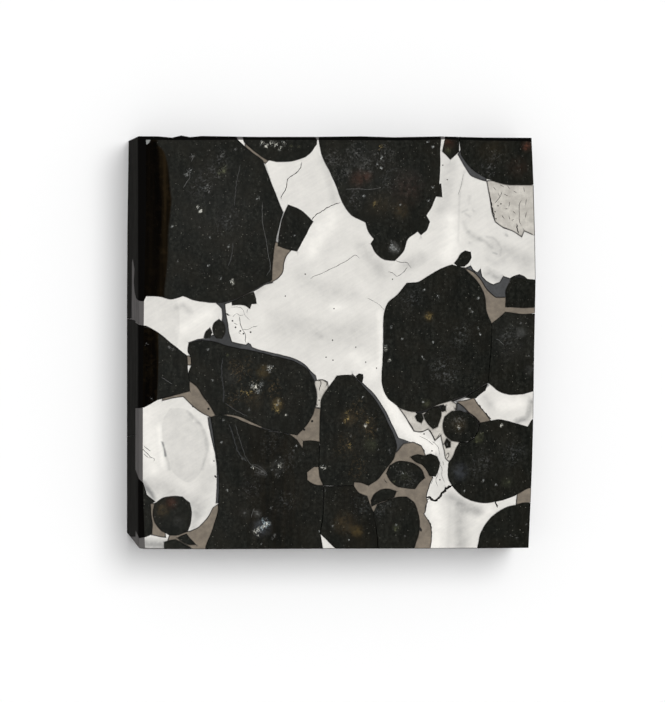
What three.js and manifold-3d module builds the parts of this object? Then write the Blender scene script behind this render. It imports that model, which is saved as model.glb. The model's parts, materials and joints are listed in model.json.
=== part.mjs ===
// Pallasite meteorite slice: olivine crystals, troilite and schreibersite grown in a nickel-iron matrix.
// Millimetres, +Z up. The slice lies on its sawn underside with the polished face up, and the origin is
// under its middle, at the height of the surface it rests on.
import * as THREE from 'three';
import Module from 'manifold-3d';

const wasm = await Module();
wasm.setup();

// Driving dimensions
const THICKNESS = 9;
const GAP = 0.05;
const OVERSHOOT = 0.6;
const LEFT_CHAMFER_DROP = 0.42;
const SAWN_EDGE_DROP = 0.12;
const BEYOND = 24;
const HALF_WIDTH = 20.25;
const HALF_HEIGHT = 20.7;

// How far apart the points of an outline may be, and how many one outline should have
const FINEST_STEP = 0.55;
const COARSEST_STEP = 1.8;
const POINTS_PER_OUTLINE = 11;

// Size of a buried grain's blunt end, as a share of its outline on the polished face
const BLUNT_END = 0.6;

// Height to which the crystals behind the left edge reach, as its sawn side shows them
const REAR_TOP = 6.05;
const REAR_TOP_LOW = 3.3;

// Marks an outline point where the outline turns sharply
const C = true;

const finish = {
  metal: new THREE.MeshStandardMaterial({ color: 0xe3e2df, roughness: 0.32, metalness: 1 }),
  olivine: new THREE.MeshStandardMaterial({ color: 0x262520, roughness: 0.12, metalness: 0 }),
  troilite: new THREE.MeshStandardMaterial({ color: 0x908373, roughness: 0.4, metalness: 0.6 }),
  greySchreibersite: new THREE.MeshStandardMaterial({ color: 0x5b5f63, roughness: 0.4, metalness: 0.7 }),
  paleSchreibersite: new THREE.MeshStandardMaterial({ color: 0xc9c6c0, roughness: 0.42, metalness: 0.8 }),
};

// Slab edge, counter-clockwise from the lower left corner. Each station is the corner of the polished
// face, the outermost edge below it, and the edge of the underside: [x, y] of each.
const slabEdge = [
  { face: [-19.15, -20.45], rim: [-19.7, -20.5], foot: [-20.25, -19.28], drop: LEFT_CHAMFER_DROP },
  { face: [-18.9, -20.48], rim: [-19.3, -20.58], foot: [-19.3, -20.5] },
  { face: [-13, -20.58], rim: [-13, -20.64], foot: [-13, -20.64] },
  { face: [0, -20.6], rim: [0, -20.66], foot: [0, -20.66] },
  { face: [8, -20.64], rim: [8, -20.69], foot: [8, -20.69] },
  { face: [13.5, -20.64], rim: [13.5, -20.7], foot: [13.5, -20.7] },
  { face: [19.42, -20.6], rim: [19.52, -20.68], foot: [19.52, -20.68] },
  { face: [19.66, -16], rim: [19.74, -16], foot: [19.74, -16] },
  { face: [19.8, -12.4], rim: [19.88, -12.4], foot: [19.88, -12.4] },
  { face: [19.92, -8], rim: [20, -8], foot: [20, -8] },
  { face: [20.02, -1], rim: [20.1, -1], foot: [20.1, -1] },
  { face: [20.17, 6.5], rim: [20.25, 6.5], foot: [20.25, 6.5] },
  { face: [20.08, 11], rim: [20.17, 11], foot: [20.17, 11] },
  { face: [19.93, 16], rim: [20.03, 16], foot: [20.03, 16] },
  { face: [19.8, 20.2], rim: [19.88, 20.57], foot: [19.88, 20.57], drop: LEFT_CHAMFER_DROP },
  { face: [15, 20.25], rim: [15, 20.57], foot: [15, 20.57], drop: LEFT_CHAMFER_DROP },
  { face: [11.2, 20.34], rim: [10.6, 20.66], foot: [10.6, 20.6], drop: LEFT_CHAMFER_DROP },
  { face: [6, 20.2], rim: [6, 20.54], foot: [6, 20.56], drop: LEFT_CHAMFER_DROP },
  { face: [3, 20.22], rim: [2.6, 20.62], foot: [2.6, 20.56], drop: LEFT_CHAMFER_DROP },
  { face: [-2, 20.2], rim: [-2, 20.54], foot: [-2, 20.54], drop: LEFT_CHAMFER_DROP },
  { face: [-8, 20.2], rim: [-8, 20.5], foot: [-8, 20.52], drop: LEFT_CHAMFER_DROP },
  { face: [-13.2, 20.15], rim: [-13.4, 20.56], foot: [-13.4, 20.5], drop: LEFT_CHAMFER_DROP },
  { face: [-14.6, 20.12], rim: [-14.6, 20.44], foot: [-14.6, 20.5], drop: LEFT_CHAMFER_DROP },
  { face: [-15.4, 20.14], rim: [-15.5, 20.6], foot: [-15.5, 20.5], drop: LEFT_CHAMFER_DROP },
  { face: [-16.4, 20.1], rim: [-16.4, 20.38], foot: [-16.4, 20.48], drop: LEFT_CHAMFER_DROP },
  { face: [-17.8, 20.13], rim: [-17.8, 20.5], foot: [-17.8, 20.48], drop: LEFT_CHAMFER_DROP },
  { face: [-19.05, 20.13], rim: [-19.74, 20.5], foot: [-20.08, 20.43], drop: LEFT_CHAMFER_DROP },
  { face: [-19.05, 12], rim: [-19.72, 12], foot: [-20.2, 12], drop: LEFT_CHAMFER_DROP },
  { face: [-19.24, 4], rim: [-19.7, 4], foot: [-20.25, 4], drop: LEFT_CHAMFER_DROP },
  { face: [-19.36, -6], rim: [-19.71, -6], foot: [-20.25, -6], drop: LEFT_CHAMFER_DROP },
  { face: [-19.36, -14], rim: [-19.72, -14], foot: [-20.25, -14], drop: LEFT_CHAMFER_DROP },
];

// Metal that parts the upper left crystal from the one behind it, as [y, z] points on the left side
const leftSideChannel = {
  innerX: -18.7,
  outline: [
    [1, REAR_TOP_LOW + 0.1], [8, REAR_TOP_LOW + 0.1], [8.4, 3.9], [7.3, 5.2], [6, 4.7], [5, 5.4],
    [4.4, 6.4], [4, 8.2], [3.9, 9.2], [1, 9.2],
  ],
};

// Grains in order of growth: a later grain gives way to every earlier one. An outline is the grain's
// edge on the polished face. A grain with no depth goes through the slice, its section growing or
// shrinking by taper and moving by drift on the way down. One with a depth ends inside the slice. Some
// have a foot, a lobe that runs from its own top to the underside, or a cut in the left side.
const grains = [
  {
    name: 'olivine_rear_left', finish: 'olivine', top: REAR_TOP, taper: 1.04,
    outline: [
      [-BEYOND, 2.2, C], [-19.5, 2.1], [-17.6, 1.2], [-16.7, -1], [-16.5, -4], [-17.2, -7],
      [-18.6, -9], [-BEYOND, -9.3, C],
    ],
  },
  {
    name: 'olivine_upper_left', finish: 'olivine', taper: 0.93, drift: [0.5, 0.6], cut: leftSideChannel,
    outline: [
      [-BEYOND, BEYOND, C], [-9.95, BEYOND, C], [-9.95, 20.2, C], [-9.04, 19.36], [-7.4, 18.1, C],
      [-6.9, 16.8], [-6.3, 15.3], [-5.35, 12.95, C], [-5.75, 11.6], [-6.15, 10], [-6.4, 8.2],
      [-6.5, 6.2, C], [-7.5, 5.75], [-8.4, 5.15], [-9.6, 4.6], [-10.7, 4.12], [-12, 3.95], [-14, 4.15],
      [-15.35, 4.62, C], [-16.5, 4.3], [-17.9, 4.6], [-19.05, 4.62, C], [-19.3, 4.1, C],
      [-BEYOND, 3.9, C],
    ],
    foot: {
      top: REAR_TOP_LOW, taper: 1.05,
      outline: [
        [-BEYOND, 9, C], [-BEYOND, 2.5, C], [-19.6, 2.5], [-18, 3.1], [-17.1, 4.6], [-16.6, 7],
        [-17, 9, C],
      ],
    },
  },
  {
    name: 'olivine_top_centre', finish: 'olivine', taper: 0.8, drift: [0.6, 1],
    outline: [
      [-1.75, BEYOND, C], [-1.72, 20.3, C], [-1.5, 19], [-0.8, 17.5], [0.25, 15.2], [1, 13.3],
      [2, 12.45], [3, 12, C], [3.12, 11.4], [3.87, 10.3, C], [3.55, 9.85, C], [4, 9], [4.75, 8.35],
      [5.9, 8.2, C], [6.6, 8.8], [7.35, 10.5], [8.25, 11.15, C], [8.6, 10.78, C], [9.15, 11.3],
      [9.45, 12.2], [9.1, 12.7, C], [9.6, 13.5], [10.1, 14.65, C], [10.7, 14.6, C],
      [10.6, 15.85, C], [10.4, 15.8, C], [10.5, 17.5], [10.5, 19], [10.6, 20.3], [10.6, BEYOND, C],
    ],
  },
  {
    name: 'olivine_top_right', finish: 'olivine', taper: 0.86, drift: [0.4, 0.6],
    outline: [
      [12.52, BEYOND, C], [12.5, 19.6], [12.62, 18.95], [13.3, 18], [14, 17.2], [15, 16.6],
      [16, 16.12], [17.5, 15.85], [19.9, 15.85], [BEYOND, 15.8, C], [BEYOND, BEYOND, C],
    ],
  },
  {
    name: 'olivine_right_large', finish: 'olivine', taper: 0.84, drift: [-0.4, 0.7],
    outline: [
      [4.8, 0.5], [4.87, 2.7], [5.2, 3.8], [6.3, 4.8], [7.2, 5.9, C], [7.7, 5.7], [8.5, 6.1],
      [10, 7], [11.5, 7.7], [12.3, 7.72], [13.1, 7.3], [14.2, 6.1], [15.05, 4.7], [15.05, 3.6],
      [15.7, 1.9, C], [15.7, 0], [15.35, -4.05, C], [14.2, -4.75], [12.2, -5.65], [10.8, -6.05],
      [9.6, -6.5], [8.7, -6.85], [7.7, -6.93], [6.4, -6.52], [5.5, -5.85], [4.85, -4.85],
      [4.66, -3.9], [4.7, -2.6], [4.8, -1],
    ],
  },
  {
    name: 'olivine_right_edge', finish: 'olivine', taper: 0.88, drift: [0.2, 0.6],
    outline: [
      [15.8, 1.85, C], [16.5, 2.4], [17.15, 3, C], [18.8, 2.78], [20.1, 2.88], [BEYOND, 2.8, C],
      [BEYOND, -4.6, C], [20, -4.85], [18.9, -5.18], [17.6, -5.25], [16.4, -4.85], [15.4, -4.05, C],
      [15.78, 0],
    ],
  },
  {
    name: 'olivine_left_edge', finish: 'olivine', taper: 1.1, drift: [-0.5, 0.3],
    outline: [
      [-BEYOND, 1.7, C], [-19.3, 1.65], [-18.3, 1.15], [-17.1, 0.4], [-16.3, -0.35],
      [-15, -1.35, C], [-14.95, -2.3], [-14.75, -3.9, C], [-14.72, -4.85, C], [-15.5, -5.08],
      [-16.5, -5.33], [-18, -5.75], [-18.9, -6.2], [-19.35, -6.5], [-BEYOND, -7.1, C],
    ],
  },
  {
    name: 'olivine_middle', finish: 'olivine', taper: 0.85, drift: [0.5, 0.4],
    outline: [
      [-14.75, -0.12, C], [-13.9, 0.1], [-12.5, 0.04], [-11, -0.38], [-9.5, -0.72], [-8, -0.97],
      [-6.5, -1.37], [-5, -1.72], [-4, -2.07], [-3.2, -2.5], [-2.6, -3.2], [-2.1, -4.2],
      [-1.98, -5.2], [-2.02, -6.1], [-2.35, -7.2], [-3.1, -8.4], [-3.9, -9.25, C], [-4.9, -9.07],
      [-6.2, -8.85], [-7.55, -8.37], [-8.5, -7.92], [-9.5, -7.47], [-10.5, -7.17], [-12.05, -7.3, C],
      [-12.5, -6.5], [-13.3, -5.4], [-14.1, -4.2], [-14.7, -3.82, C], [-14.75, -3],
      [-14.5, -2.3, C], [-14.45, -1.7], [-14.8, -1.2],
    ],
  },
  {
    name: 'olivine_lower_left', finish: 'olivine', taper: 0.88, drift: [-0.3, -0.4],
    outline: [
      [-12.55, -7.5, C], [-11.45, -7.3], [-10.5, -7.5], [-9.5, -7.9], [-8.5, -8.3], [-7.6, -8.6],
      [-6, -9], [-4.9, -9.15], [-4.2, -9.5], [-3.35, -10.75, C], [-3.25, -9.95, C], [-2.4, -9.88],
      [-1.72, -10, C], [-1.72, -12.4, C], [-2.2, -12.4, C], [-2.97, -13, C], [-2.92, -13.8, C],
      [-2.2, -14.25], [-1.35, -14.38, C], [-1.35, -17], [-1.6, -19.2, C], [-1.35, -20.4],
      [-1.3, -BEYOND, C], [-14, -BEYOND, C], [-13.15, -20.7], [-12.15, -18.1], [-11.82, -16.8],
      [-11.72, -15], [-11.78, -13], [-12.05, -10.8],
    ],
  },
  {
    name: 'olivine_centre', finish: 'olivine', taper: 0.82, drift: [0.3, -0.3],
    outline: [
      [-1.6, -9.9, C], [-1.57, -7.4], [-1.5, -6], [-1.15, -5], [-0.4, -4.2], [0.1, -3.4, C],
      [0.8, -3.33], [1.7, -3.35, C], [3, -4.75], [3.8, -5.65], [4.4, -6.5], [5, -7.7], [5.45, -8.6],
      [5.9, -9.6], [6.12, -10.6], [5.95, -11.4], [5.2, -12.4], [4.3, -13.6], [3.3, -14.32, C],
      [2.6, -14.05], [1.8, -13.98, C], [1.75, -14.35, C], [0, -14.32], [-1.25, -14.3, C],
      [-1.55, -13.6], [-1.7, -12.4, C],
    ],
  },
  {
    name: 'olivine_bottom_centre', finish: 'olivine', taper: 0.84, drift: [0.2, -0.5],
    outline: [
      [-1.2, -14.42, C], [0.5, -14.42], [1.75, -14.42, C], [1.95, -14.88], [3.1, -15.45, C],
      [3.4, -16.3], [3.75, -17.02, C], [4, -18.5], [4.2, -20.7], [4.2, -BEYOND, C],
      [0.05, -BEYOND, C], [0.05, -20.7, C], [-0.5, -20.15], [-1.55, -19.15, C], [-1.25, -17],
    ],
  },
  {
    name: 'olivine_bottom_round', finish: 'olivine', taper: 0.86, drift: [0.2, -0.4],
    outline: [
      [3.85, -17.05, C], [3.8, -16.6], [4.1, -16.32], [4.7, -16.05], [5.4, -15.88], [6.2, -15.57],
      [7.1, -15.53], [7.7, -15.9], [8.15, -16.8], [8.4, -18], [8.42, -18.7], [8.2, -19.6],
      [7.85, -20.7], [7.8, -BEYOND, C], [4.3, -BEYOND, C], [4.28, -20.7], [4.08, -18.5],
    ],
  },
  {
    name: 'olivine_lower_right', finish: 'olivine', taper: 0.85, drift: [0.5, 0.3],
    outline: [
      [14.6, -8.15, C], [15.3, -8], [16.2, -7.8], [17, -7.88], [18, -8.15], [19.45, -8.55, C],
      [19.9, -7.75, C], [BEYOND, -7.5, C], [BEYOND, -14.3, C], [19.75, -14.55], [18, -15.45],
      [16.8, -15.85], [15.2, -16.12], [13.8, -15.95], [12.7, -15.25], [11.7, -14.4], [11.36, -13.4],
      [11.5, -12.5], [11.4, -12.15, C], [11.75, -11.8], [12.05, -10.9], [12.55, -10.05, C],
      [13.4, -10.05], [14.1, -9.5], [14.45, -8.8],
    ],
  },
  {
    name: 'olivine_corner', finish: 'olivine', taper: 0.86, drift: [0.4, -0.6],
    outline: [
      [BEYOND, -16.1, C], [19.6, -16.15], [18.3, -16.3], [17.2, -16.65], [16.4, -17.1],
      [15.4, -17.95], [14.8, -18.9], [14.5, -19.9], [14.3, -20.8], [14.2, -BEYOND, C],
      [BEYOND, -BEYOND, C],
    ],
  },
  {
    name: 'olivine_lower_edge', finish: 'olivine', taper: 0.98, drift: [0.2, 2.6],
    outline: [
      [-BEYOND, -13.2, C], [-19.6, -13.6], [-19.36, -14], [-19.05, -15], [-18.85, -15.6],
      [-18.5, -15.52], [-18.2, -15.85, C], [-18.65, -16.1, C], [-18.6, -16.8], [-18.45, -18],
      [-18.5, -19.1, C], [-19.2, -19.65], [-BEYOND, -19.9, C],
    ],
    foot: {
      top: REAR_TOP, taper: 1.04,
      outline: [
        [-BEYOND, -9.5, C], [-19, -9.4], [-17.6, -11], [-17.2, -14], [-17.6, -17.5],
        [-18.8, -19.2], [-BEYOND, -19.6, C],
      ],
    },
  },
  {
    name: 'olivine_red_round', finish: 'olivine', depth: 5.5,
    outline: [
      [-18.15, -16.05, C], [-17.2, -15.48], [-16.3, -15.38], [-15.4, -15.45], [-14.75, -15.95],
      [-14.55, -16.7], [-14.62, -18], [-14.85, -18.8], [-15.5, -19.08], [-16.4, -19.25],
      [-17.2, -18.95], [-17.9, -18.35], [-18.3, -17.2],
    ],
  },
  {
    name: 'olivine_top_notch', finish: 'olivine', depth: 4.4,
    outline: [
      [-9.7, BEYOND, C], [-9.6, 20.4], [-9, 19.8], [-8.2, 19.1], [-7.3, 18.35], [-6.4, 18.1],
      [-5.4, 18.03], [-4.4, 18.1], [-3.3, 18.55], [-2.4, 18.95], [-2.05, 19.5], [-1.9, 20.4],
      [-1.9, BEYOND, C],
    ],
  },
  {
    name: 'olivine_top_bud', finish: 'olivine', depth: 2.6,
    outline: [
      [11.05, BEYOND, C], [11.05, 20.35], [10.8, 19.45], [10.95, 18.7], [11.4, 18.38], [12.1, 18.6],
      [12.4, 19.1], [12.42, 20.3], [12.42, BEYOND, C],
    ],
  },
  {
    name: 'olivine_square', finish: 'olivine', depth: 3.2,
    outline: [
      [-4.8, 13.68, C], [-3.6, 13.2], [-2.35, 12.05, C], [-3.4, 10.1], [-3.95, 9.1, C], [-5, 9.35],
      [-5.8, 9.65, C], [-5.7, 10.8], [-5.35, 12.4],
    ],
  },
  {
    name: 'olivine_wedge', finish: 'olivine', depth: 1.6,
    outline: [
      [-8.3, 5, C], [-8.08, 4.3], [-8.08, 3.75], [-8.5, 3.85, C], [-8.65, 3.36, C], [-9.2, 3.7],
      [-10.4, 3.72, C], [-10.45, 3.98, C], [-9.4, 4.5],
    ],
  },
  {
    name: 'olivine_right_edge_small', finish: 'olivine', depth: 3.6,
    outline: [
      [17.2, 3.6, C], [17.15, 4.4], [17.3, 5.6], [17.7, 6.4], [18.5, 6.7], [19.4, 6.3],
      [BEYOND, 6.2, C], [BEYOND, 3.55, C], [20.1, 3.55], [18.5, 3.5],
    ],
  },
  {
    name: 'olivine_crescent', finish: 'olivine', depth: 2,
    outline: [
      [3.5, -16.15], [3.6, -15.75], [3.95, -15.18], [4.6, -14.82], [5.3, -14.74], [6.05, -14.95, C],
      [5.75, -15.6], [5.2, -15.8], [4.5, -15.95], [4, -16.22], [3.65, -16.38],
    ],
  },
  {
    name: 'olivine_oval', finish: 'olivine', depth: 2.8,
    outline: [
      [5.13, -12.95], [5.5, -12.35], [6.1, -12.03], [7, -12], [7.9, -12.25], [8.5, -12.65],
      [8.93, -13.6, C], [8.3, -14.15], [7.95, -14.68, C], [7, -14.57], [5.95, -14.3],
      [5.35, -13.6],
    ],
  },
  {
    name: 'olivine_hatchet', finish: 'olivine', depth: 2.4,
    outline: [
      [7.6, -11.5], [7.95, -11.28], [8.9, -11.4], [9.4, -11.22], [9.9, -11.28], [10.4, -11.75],
      [10.45, -12.4], [10.2, -13.1], [9.9, -13.58], [9.45, -13.35], [9, -12.5], [8.3, -12.05],
      [7.8, -11.85],
    ],
  },
  {
    name: 'olivine_lower_bud', finish: 'olivine', depth: 3.8,
    outline: [
      [11, -7.5], [11.5, -7.08], [12.3, -6.9], [13.1, -7.07], [13.9, -7.55], [14.45, -8],
      [14.35, -8.8], [14, -9.5], [13.3, -9.98], [12.5, -9.98], [11.6, -9.8], [10.98, -9.1],
      [10.85, -8.3],
    ],
  },
  {
    name: 'olivine_knob_right', finish: 'olivine', depth: 1.6,
    outline: [
      [12, 7.95], [12.5, 8.5], [12.75, 9], [13.25, 9.17], [13.72, 8.8], [13.5, 8.2], [13.1, 7.7],
      [12.4, 7.6],
    ],
  },
  {
    name: 'olivine_knob_centre', finish: 'olivine', depth: 0.9,
    outline: [
      [2.05, -3.4, C], [2.35, -3.18], [2.65, -3.2], [2.7, -3.6], [2.6, -4, C], [2.35, -3.8],
    ],
  },
  {
    name: 'olivine_vein_oval', finish: 'olivine', depth: 1.4,
    outline: [
      [-11.75, 2.25], [-12.3, 1.7], [-12.35, 1], [-12, 0.45], [-11.5, 0.4], [-11.2, 1],
      [-11.25, 1.8],
    ],
  },
  {
    name: 'olivine_vein_chip', finish: 'olivine', depth: 0.8,
    outline: [[-12.55, 1.4], [-13, 1.1], [-13.25, 0.45, C], [-12.75, 0.42], [-12.5, 0.9]],
  },
  {
    name: 'olivine_foot_upper', finish: 'olivine', depth: 1,
    outline: [
      [-15.85, -19.5, C], [-15.3, -19.24], [-15, -19.15, C], [-14.6, -19.65], [-14.15, -20.15, C],
      [-14.8, -20.12], [-15.4, -19.85],
    ],
  },
  {
    name: 'olivine_foot_lower', finish: 'olivine', depth: 1.6,
    outline: [
      [-17.2, -19.95, C], [-16.75, -19.85], [-16.4, -19.6], [-15.95, -19.75], [-15.3, -20.12],
      [-14.5, -20.55, C], [-14.5, -BEYOND, C], [-17.2, -BEYOND, C],
    ],
  },
  {
    name: 'olivine_splinter', finish: 'olivine', depth: 0.9,
    outline: [
      [13.1, -5.52, C], [14.2, -4.88], [15.3, -4.28, C], [15.3, -4.6], [14.6, -5.15],
      [14.1, -5.6, C], [13.6, -5.6],
    ],
  },
  {
    name: 'olivine_chip_small', finish: 'olivine', depth: 0.9,
    outline: [
      [8.05, -7.5], [8.2, -7.2], [8.6, -7.15], [8.8, -7.6], [8.7, -8], [8.45, -8.08],
      [8.2, -7.85],
    ],
  },
  {
    name: 'olivine_chip_large', finish: 'olivine', depth: 1.5,
    outline: [
      [8.9, -7.3], [9.4, -6.85], [10, -6.55], [10.5, -6.55], [10.62, -7.1], [10.4, -8],
      [10.12, -8.65], [9.75, -8.62], [9.3, -8.1],
    ],
  },
  {
    name: 'olivine_chip_thin', finish: 'olivine', depth: 0.7,
    outline: [[10.72, -6.45], [10.98, -6.32], [11.08, -6.7], [10.9, -7], [10.76, -6.85]],
  },
  {
    name: 'olivine_pip', finish: 'olivine', depth: 0.8,
    outline: [
      [11.2, -9.75], [11.5, -10], [11.6, -10.3], [11.3, -10.68], [11.05, -10.35], [11.05, -9.95],
    ],
  },
  {
    name: 'troilite_upper', finish: 'troilite', depth: 2.6,
    outline: [
      [-6.15, 10.1, C], [-5.7, 9.75], [-4.5, 9.2, C], [-5, 8.6], [-5.3, 7.7], [-5.45, 6.8],
      [-6.1, 6.2], [-6.6, 5.95, C], [-7, 7.5], [-6.7, 9.5],
    ],
  },
  {
    name: 'troilite_top_sliver', finish: 'troilite', depth: 1.2,
    outline: [
      [-9.1, 19.95, C], [-9.1, 19.2, C], [-8, 18.4], [-7.1, 17.85, C], [-6.7, 18.25, C],
      [-8, 19.2],
    ],
  },
  {
    name: 'troilite_plug', finish: 'troilite', depth: 0.8,
    outline: [[-15.1, -1.38, C], [-14.75, -1.38, C], [-14.4, -1.6], [-14.4, -2.3, C], [-15, -2.25, C]],
  },
  {
    name: 'troilite_blade', finish: 'troilite', depth: 2.4,
    outline: [
      [-14.78, -3.75, C], [-14, -3.9], [-13.1, -5.3], [-12.3, -6.5], [-11.95, -7.35, C],
      [-12.5, -7.52, C], [-13.2, -7.2], [-14.3, -6.4], [-15.3, -5.42, C], [-16.4, -5.55],
      [-17.4, -5.8, C], [-17.4, -5.4, C], [-16.4, -5.1], [-15, -4.6],
    ],
  },
  {
    name: 'troilite_sliver', finish: 'troilite', depth: 1,
    outline: [
      [-11.5, -7.05, C], [-10.5, -7.05], [-9.5, -7.35], [-8.5, -7.8], [-7.4, -8.35, C],
      [-7.6, -8.7, C], [-8.5, -8.4], [-9.5, -8], [-10.5, -7.62], [-11.5, -7.4, C],
    ],
  },
  {
    name: 'troilite_wedge', finish: 'troilite', depth: 3,
    outline: [
      [-2.4, -6.5, C], [-1.4, -6.72, C], [-1.4, -8.5], [-1.5, -10.1, C], [-3, -10.1],
      [-3.3, -10.85, C], [-3.95, -10.1], [-4.7, -9.4, C], [-4.7, -8.95, C], [-3.6, -8.6],
      [-2.6, -7.2],
    ],
  },
  {
    name: 'troilite_island', finish: 'troilite', depth: 1.2,
    outline: [
      [-1.6, -12.3, C], [-1.5, -13.2], [-1.2, -14.4, C], [-2.2, -14.4], [-3.1, -13.9],
      [-3.1, -12.9], [-2.2, -12.3],
    ],
  },
  {
    name: 'troilite_branched', finish: 'troilite', depth: 2.6,
    outline: [
      [6.85, -10.2], [7.4, -10.02], [8.15, -10.15], [8.75, -10.6], [9.02, -11.3, C], [8.7, -11.6],
      [9, -12.2], [9.4, -13], [9.72, -13.6, C], [9.5, -14.1], [9.12, -15.55, C], [9.3, -15.75],
      [9.05, -16.4], [9.02, -17, C], [8.88, -17.2, C], [9.4, -18], [9.65, -19], [9.6, -20],
      [9.45, -20.8], [9.4, -BEYOND, C], [7.7, -BEYOND, C], [7.7, -20.7], [8, -19.2], [7.8, -17],
      [7, -16], [5.5, -16.1], [4.2, -16.6], [3.72, -17.12, C], [3.2, -16.2], [2.9, -15.45, C],
      [1.82, -14.95, C], [1.82, -13.9, C], [3.4, -13.9], [4.4, -12.9], [5.2, -11.8], [5.9, -11.1],
      [6.4, -10.8],
    ],
  },
  {
    name: 'troilite_lower_left', finish: 'troilite', depth: 2.6,
    outline: [
      [-11.7, -16.1, C], [-11.6, -17], [-12, -18.5], [-12.6, -20], [-13, -21, C],
      [-13, -BEYOND, C], [-14.42, -BEYOND, C], [-14.42, -20.6, C], [-15.3, -20.2],
      [-16, -19.85], [-16.85, -19.8, C], [-16.85, -19.3], [-16, -19.25], [-15.2, -18.95],
      [-14.6, -18.85, C], [-13.9, -18.52], [-13.2, -17.9], [-12.5, -16.9], [-12.05, -16.1],
    ],
  },
  {
    name: 'troilite_corner', finish: 'troilite', depth: 1.5,
    outline: [
      [-18.7, -16.05, C], [-18.15, -16.05, C], [-18.1, -17], [-17.7, -18.4], [-16.95, -19.1],
      [-17, -19.4], [-17.6, -19.38], [-18.25, -19.2], [-18.6, -19.12, C], [-18.65, -18],
    ],
  },
  {
    name: 'troilite_right', finish: 'troilite', depth: 2.6,
    outline: [
      [12.95, 7.5, C], [13.8, 7.1], [14.6, 6.3], [15.45, 5], [15.8, 4.55], [17.3, 4.5, C],
      [17.3, 3.5, C], [18.5, 3.6], [20.1, 3.6], [BEYOND, 3.6, C], [BEYOND, 2.75, C], [20.1, 2.8],
      [18.8, 2.7], [17.2, 2.95, C], [16.5, 2.3], [15.75, 1.7, C], [14.9, 3], [14.8, 4.8],
      [13.6, 6.6],
    ],
  },
  {
    name: 'troilite_band', finish: 'troilite', depth: 2,
    outline: [
      [12.2, -5.98, C], [12.9, -5.88], [13.95, -5.62, C], [14.2, -6.1], [15, -7], [15.65, -7.88, C],
      [14.75, -8.25, C], [14.2, -7.6], [13.3, -6.9], [12.7, -6.25],
    ],
  },
  {
    name: 'troilite_right_edge', finish: 'troilite', depth: 2.2,
    outline: [
      [18.25, -16.45, C], [18.38, -15.2, C], [19, -14.7], [BEYOND, -14.2, C], [BEYOND, -16.4, C],
    ],
  },
  {
    name: 'schreibersite_top_right', finish: 'paleSchreibersite', depth: 2.2,
    outline: [
      [15.25, 16.2, C], [15.5, 15], [15.7, 13.8], [15.95, 12.5], [16.4, 11.75], [17.3, 11.4],
      [18.3, 11], [18.8, 10.6, C], [19.05, 11.2, C], [20.1, 10.65], [BEYOND, 10.3, C],
      [BEYOND, 16.4, C], [17, 16.2], [15.9, 16.5],
    ],
  },
  {
    name: 'schreibersite_rim_top', finish: 'greySchreibersite', depth: 0.9,
    outline: [
      [12.35, 18.85, C], [12.6, 18.3], [13, 17.9], [13.35, 17.05], [14, 16.6], [15.18, 16.2, C],
      [15.4, 16.6], [14.4, 17.4], [13.2, 18.6], [12.6, 19.2, C],
    ],
  },
  {
    name: 'schreibersite_right', finish: 'greySchreibersite', depth: 1.6,
    outline: [
      [13.15, 7.45, C], [13.65, 7.62], [13.95, 7.15], [14.4, 6.95], [14.62, 7.3, C], [14.75, 6.6],
      [15.2, 6.15], [16, 5.75], [16.6, 6], [16.95, 6.6, C], [17.6, 6.35, C], [17.5, 5.2],
      [17.4, 4.3, C], [15.8, 4.4], [15.2, 5.2], [14.2, 6.5],
    ],
  },
  {
    name: 'schreibersite_lower_right', finish: 'paleSchreibersite', depth: 1.8,
    outline: [
      [6.15, -6.35, C], [6.8, -7.15], [7.3, -7.95], [7.9, -8.92, C], [8.6, -9], [9.3, -8.7, C],
      [9.65, -9.15], [10, -9.85, C], [10.6, -9.3, C], [10.8, -10.2], [11, -11.2], [11.2, -12],
      [11.6, -12.15, C], [12, -11.2], [12.65, -9.9, C], [11.4, -9.3], [11.2, -7.8], [12.15, -7, C],
      [12.15, -6.2, C], [11.85, -5.7], [10.9, -5.9], [9.6, -6.3], [8.5, -6.6], [7.2, -6.5],
    ],
  },
  {
    name: 'schreibersite_patch', finish: 'greySchreibersite', depth: 0.8,
    outline: [
      [12.22, -6.12, C], [12.8, -6.3], [13.3, -6.95, C], [12.9, -7.1], [12.2, -7, C], [12.25, -6.5],
    ],
  },
  {
    name: 'schreibersite_wedge_top', finish: 'paleSchreibersite', depth: 1.2,
    outline: [
      [-2.1, -3.88, C], [-1.6, -3.78], [-1.2, -3.82], [-0.85, -4, C], [-0.75, -4.6], [-1.1, -5.5],
      [-1.35, -6.68, C], [-2.3, -6.45, C], [-2.2, -5.2],
    ],
  },
  {
    name: 'schreibersite_rim_left', finish: 'greySchreibersite', depth: 1.2,
    outline: [
      [-12.85, -7.55, C], [-12.72, -8.4], [-12.48, -9.6], [-12.18, -10.7], [-11.98, -12],
      [-11.93, -14], [-11.98, -15.5], [-12.02, -16, C], [-11.5, -16.05, C], [-11.5, -13],
      [-11.9, -10], [-12.2, -7.4, C],
    ],
  },
  {
    name: 'schreibersite_rim_centre', finish: 'greySchreibersite', depth: 1.2,
    outline: [
      [1.65, -3.25, C], [2.1, -3.7], [2.65, -4.08], [3.6, -5], [4.3, -5.85], [4.95, -6.9],
      [5.5, -8], [6.3, -9.6, C], [7.35, -9.98, C], [6.8, -10.2], [6.5, -10.75], [6.05, -11.3, C],
      [5.6, -9.8], [4.6, -7.6], [3.4, -5.8], [2.2, -4.4], [1.5, -3.6, C],
    ],
  },
  {
    name: 'schreibersite_vein', finish: 'greySchreibersite', depth: 1.3,
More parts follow.
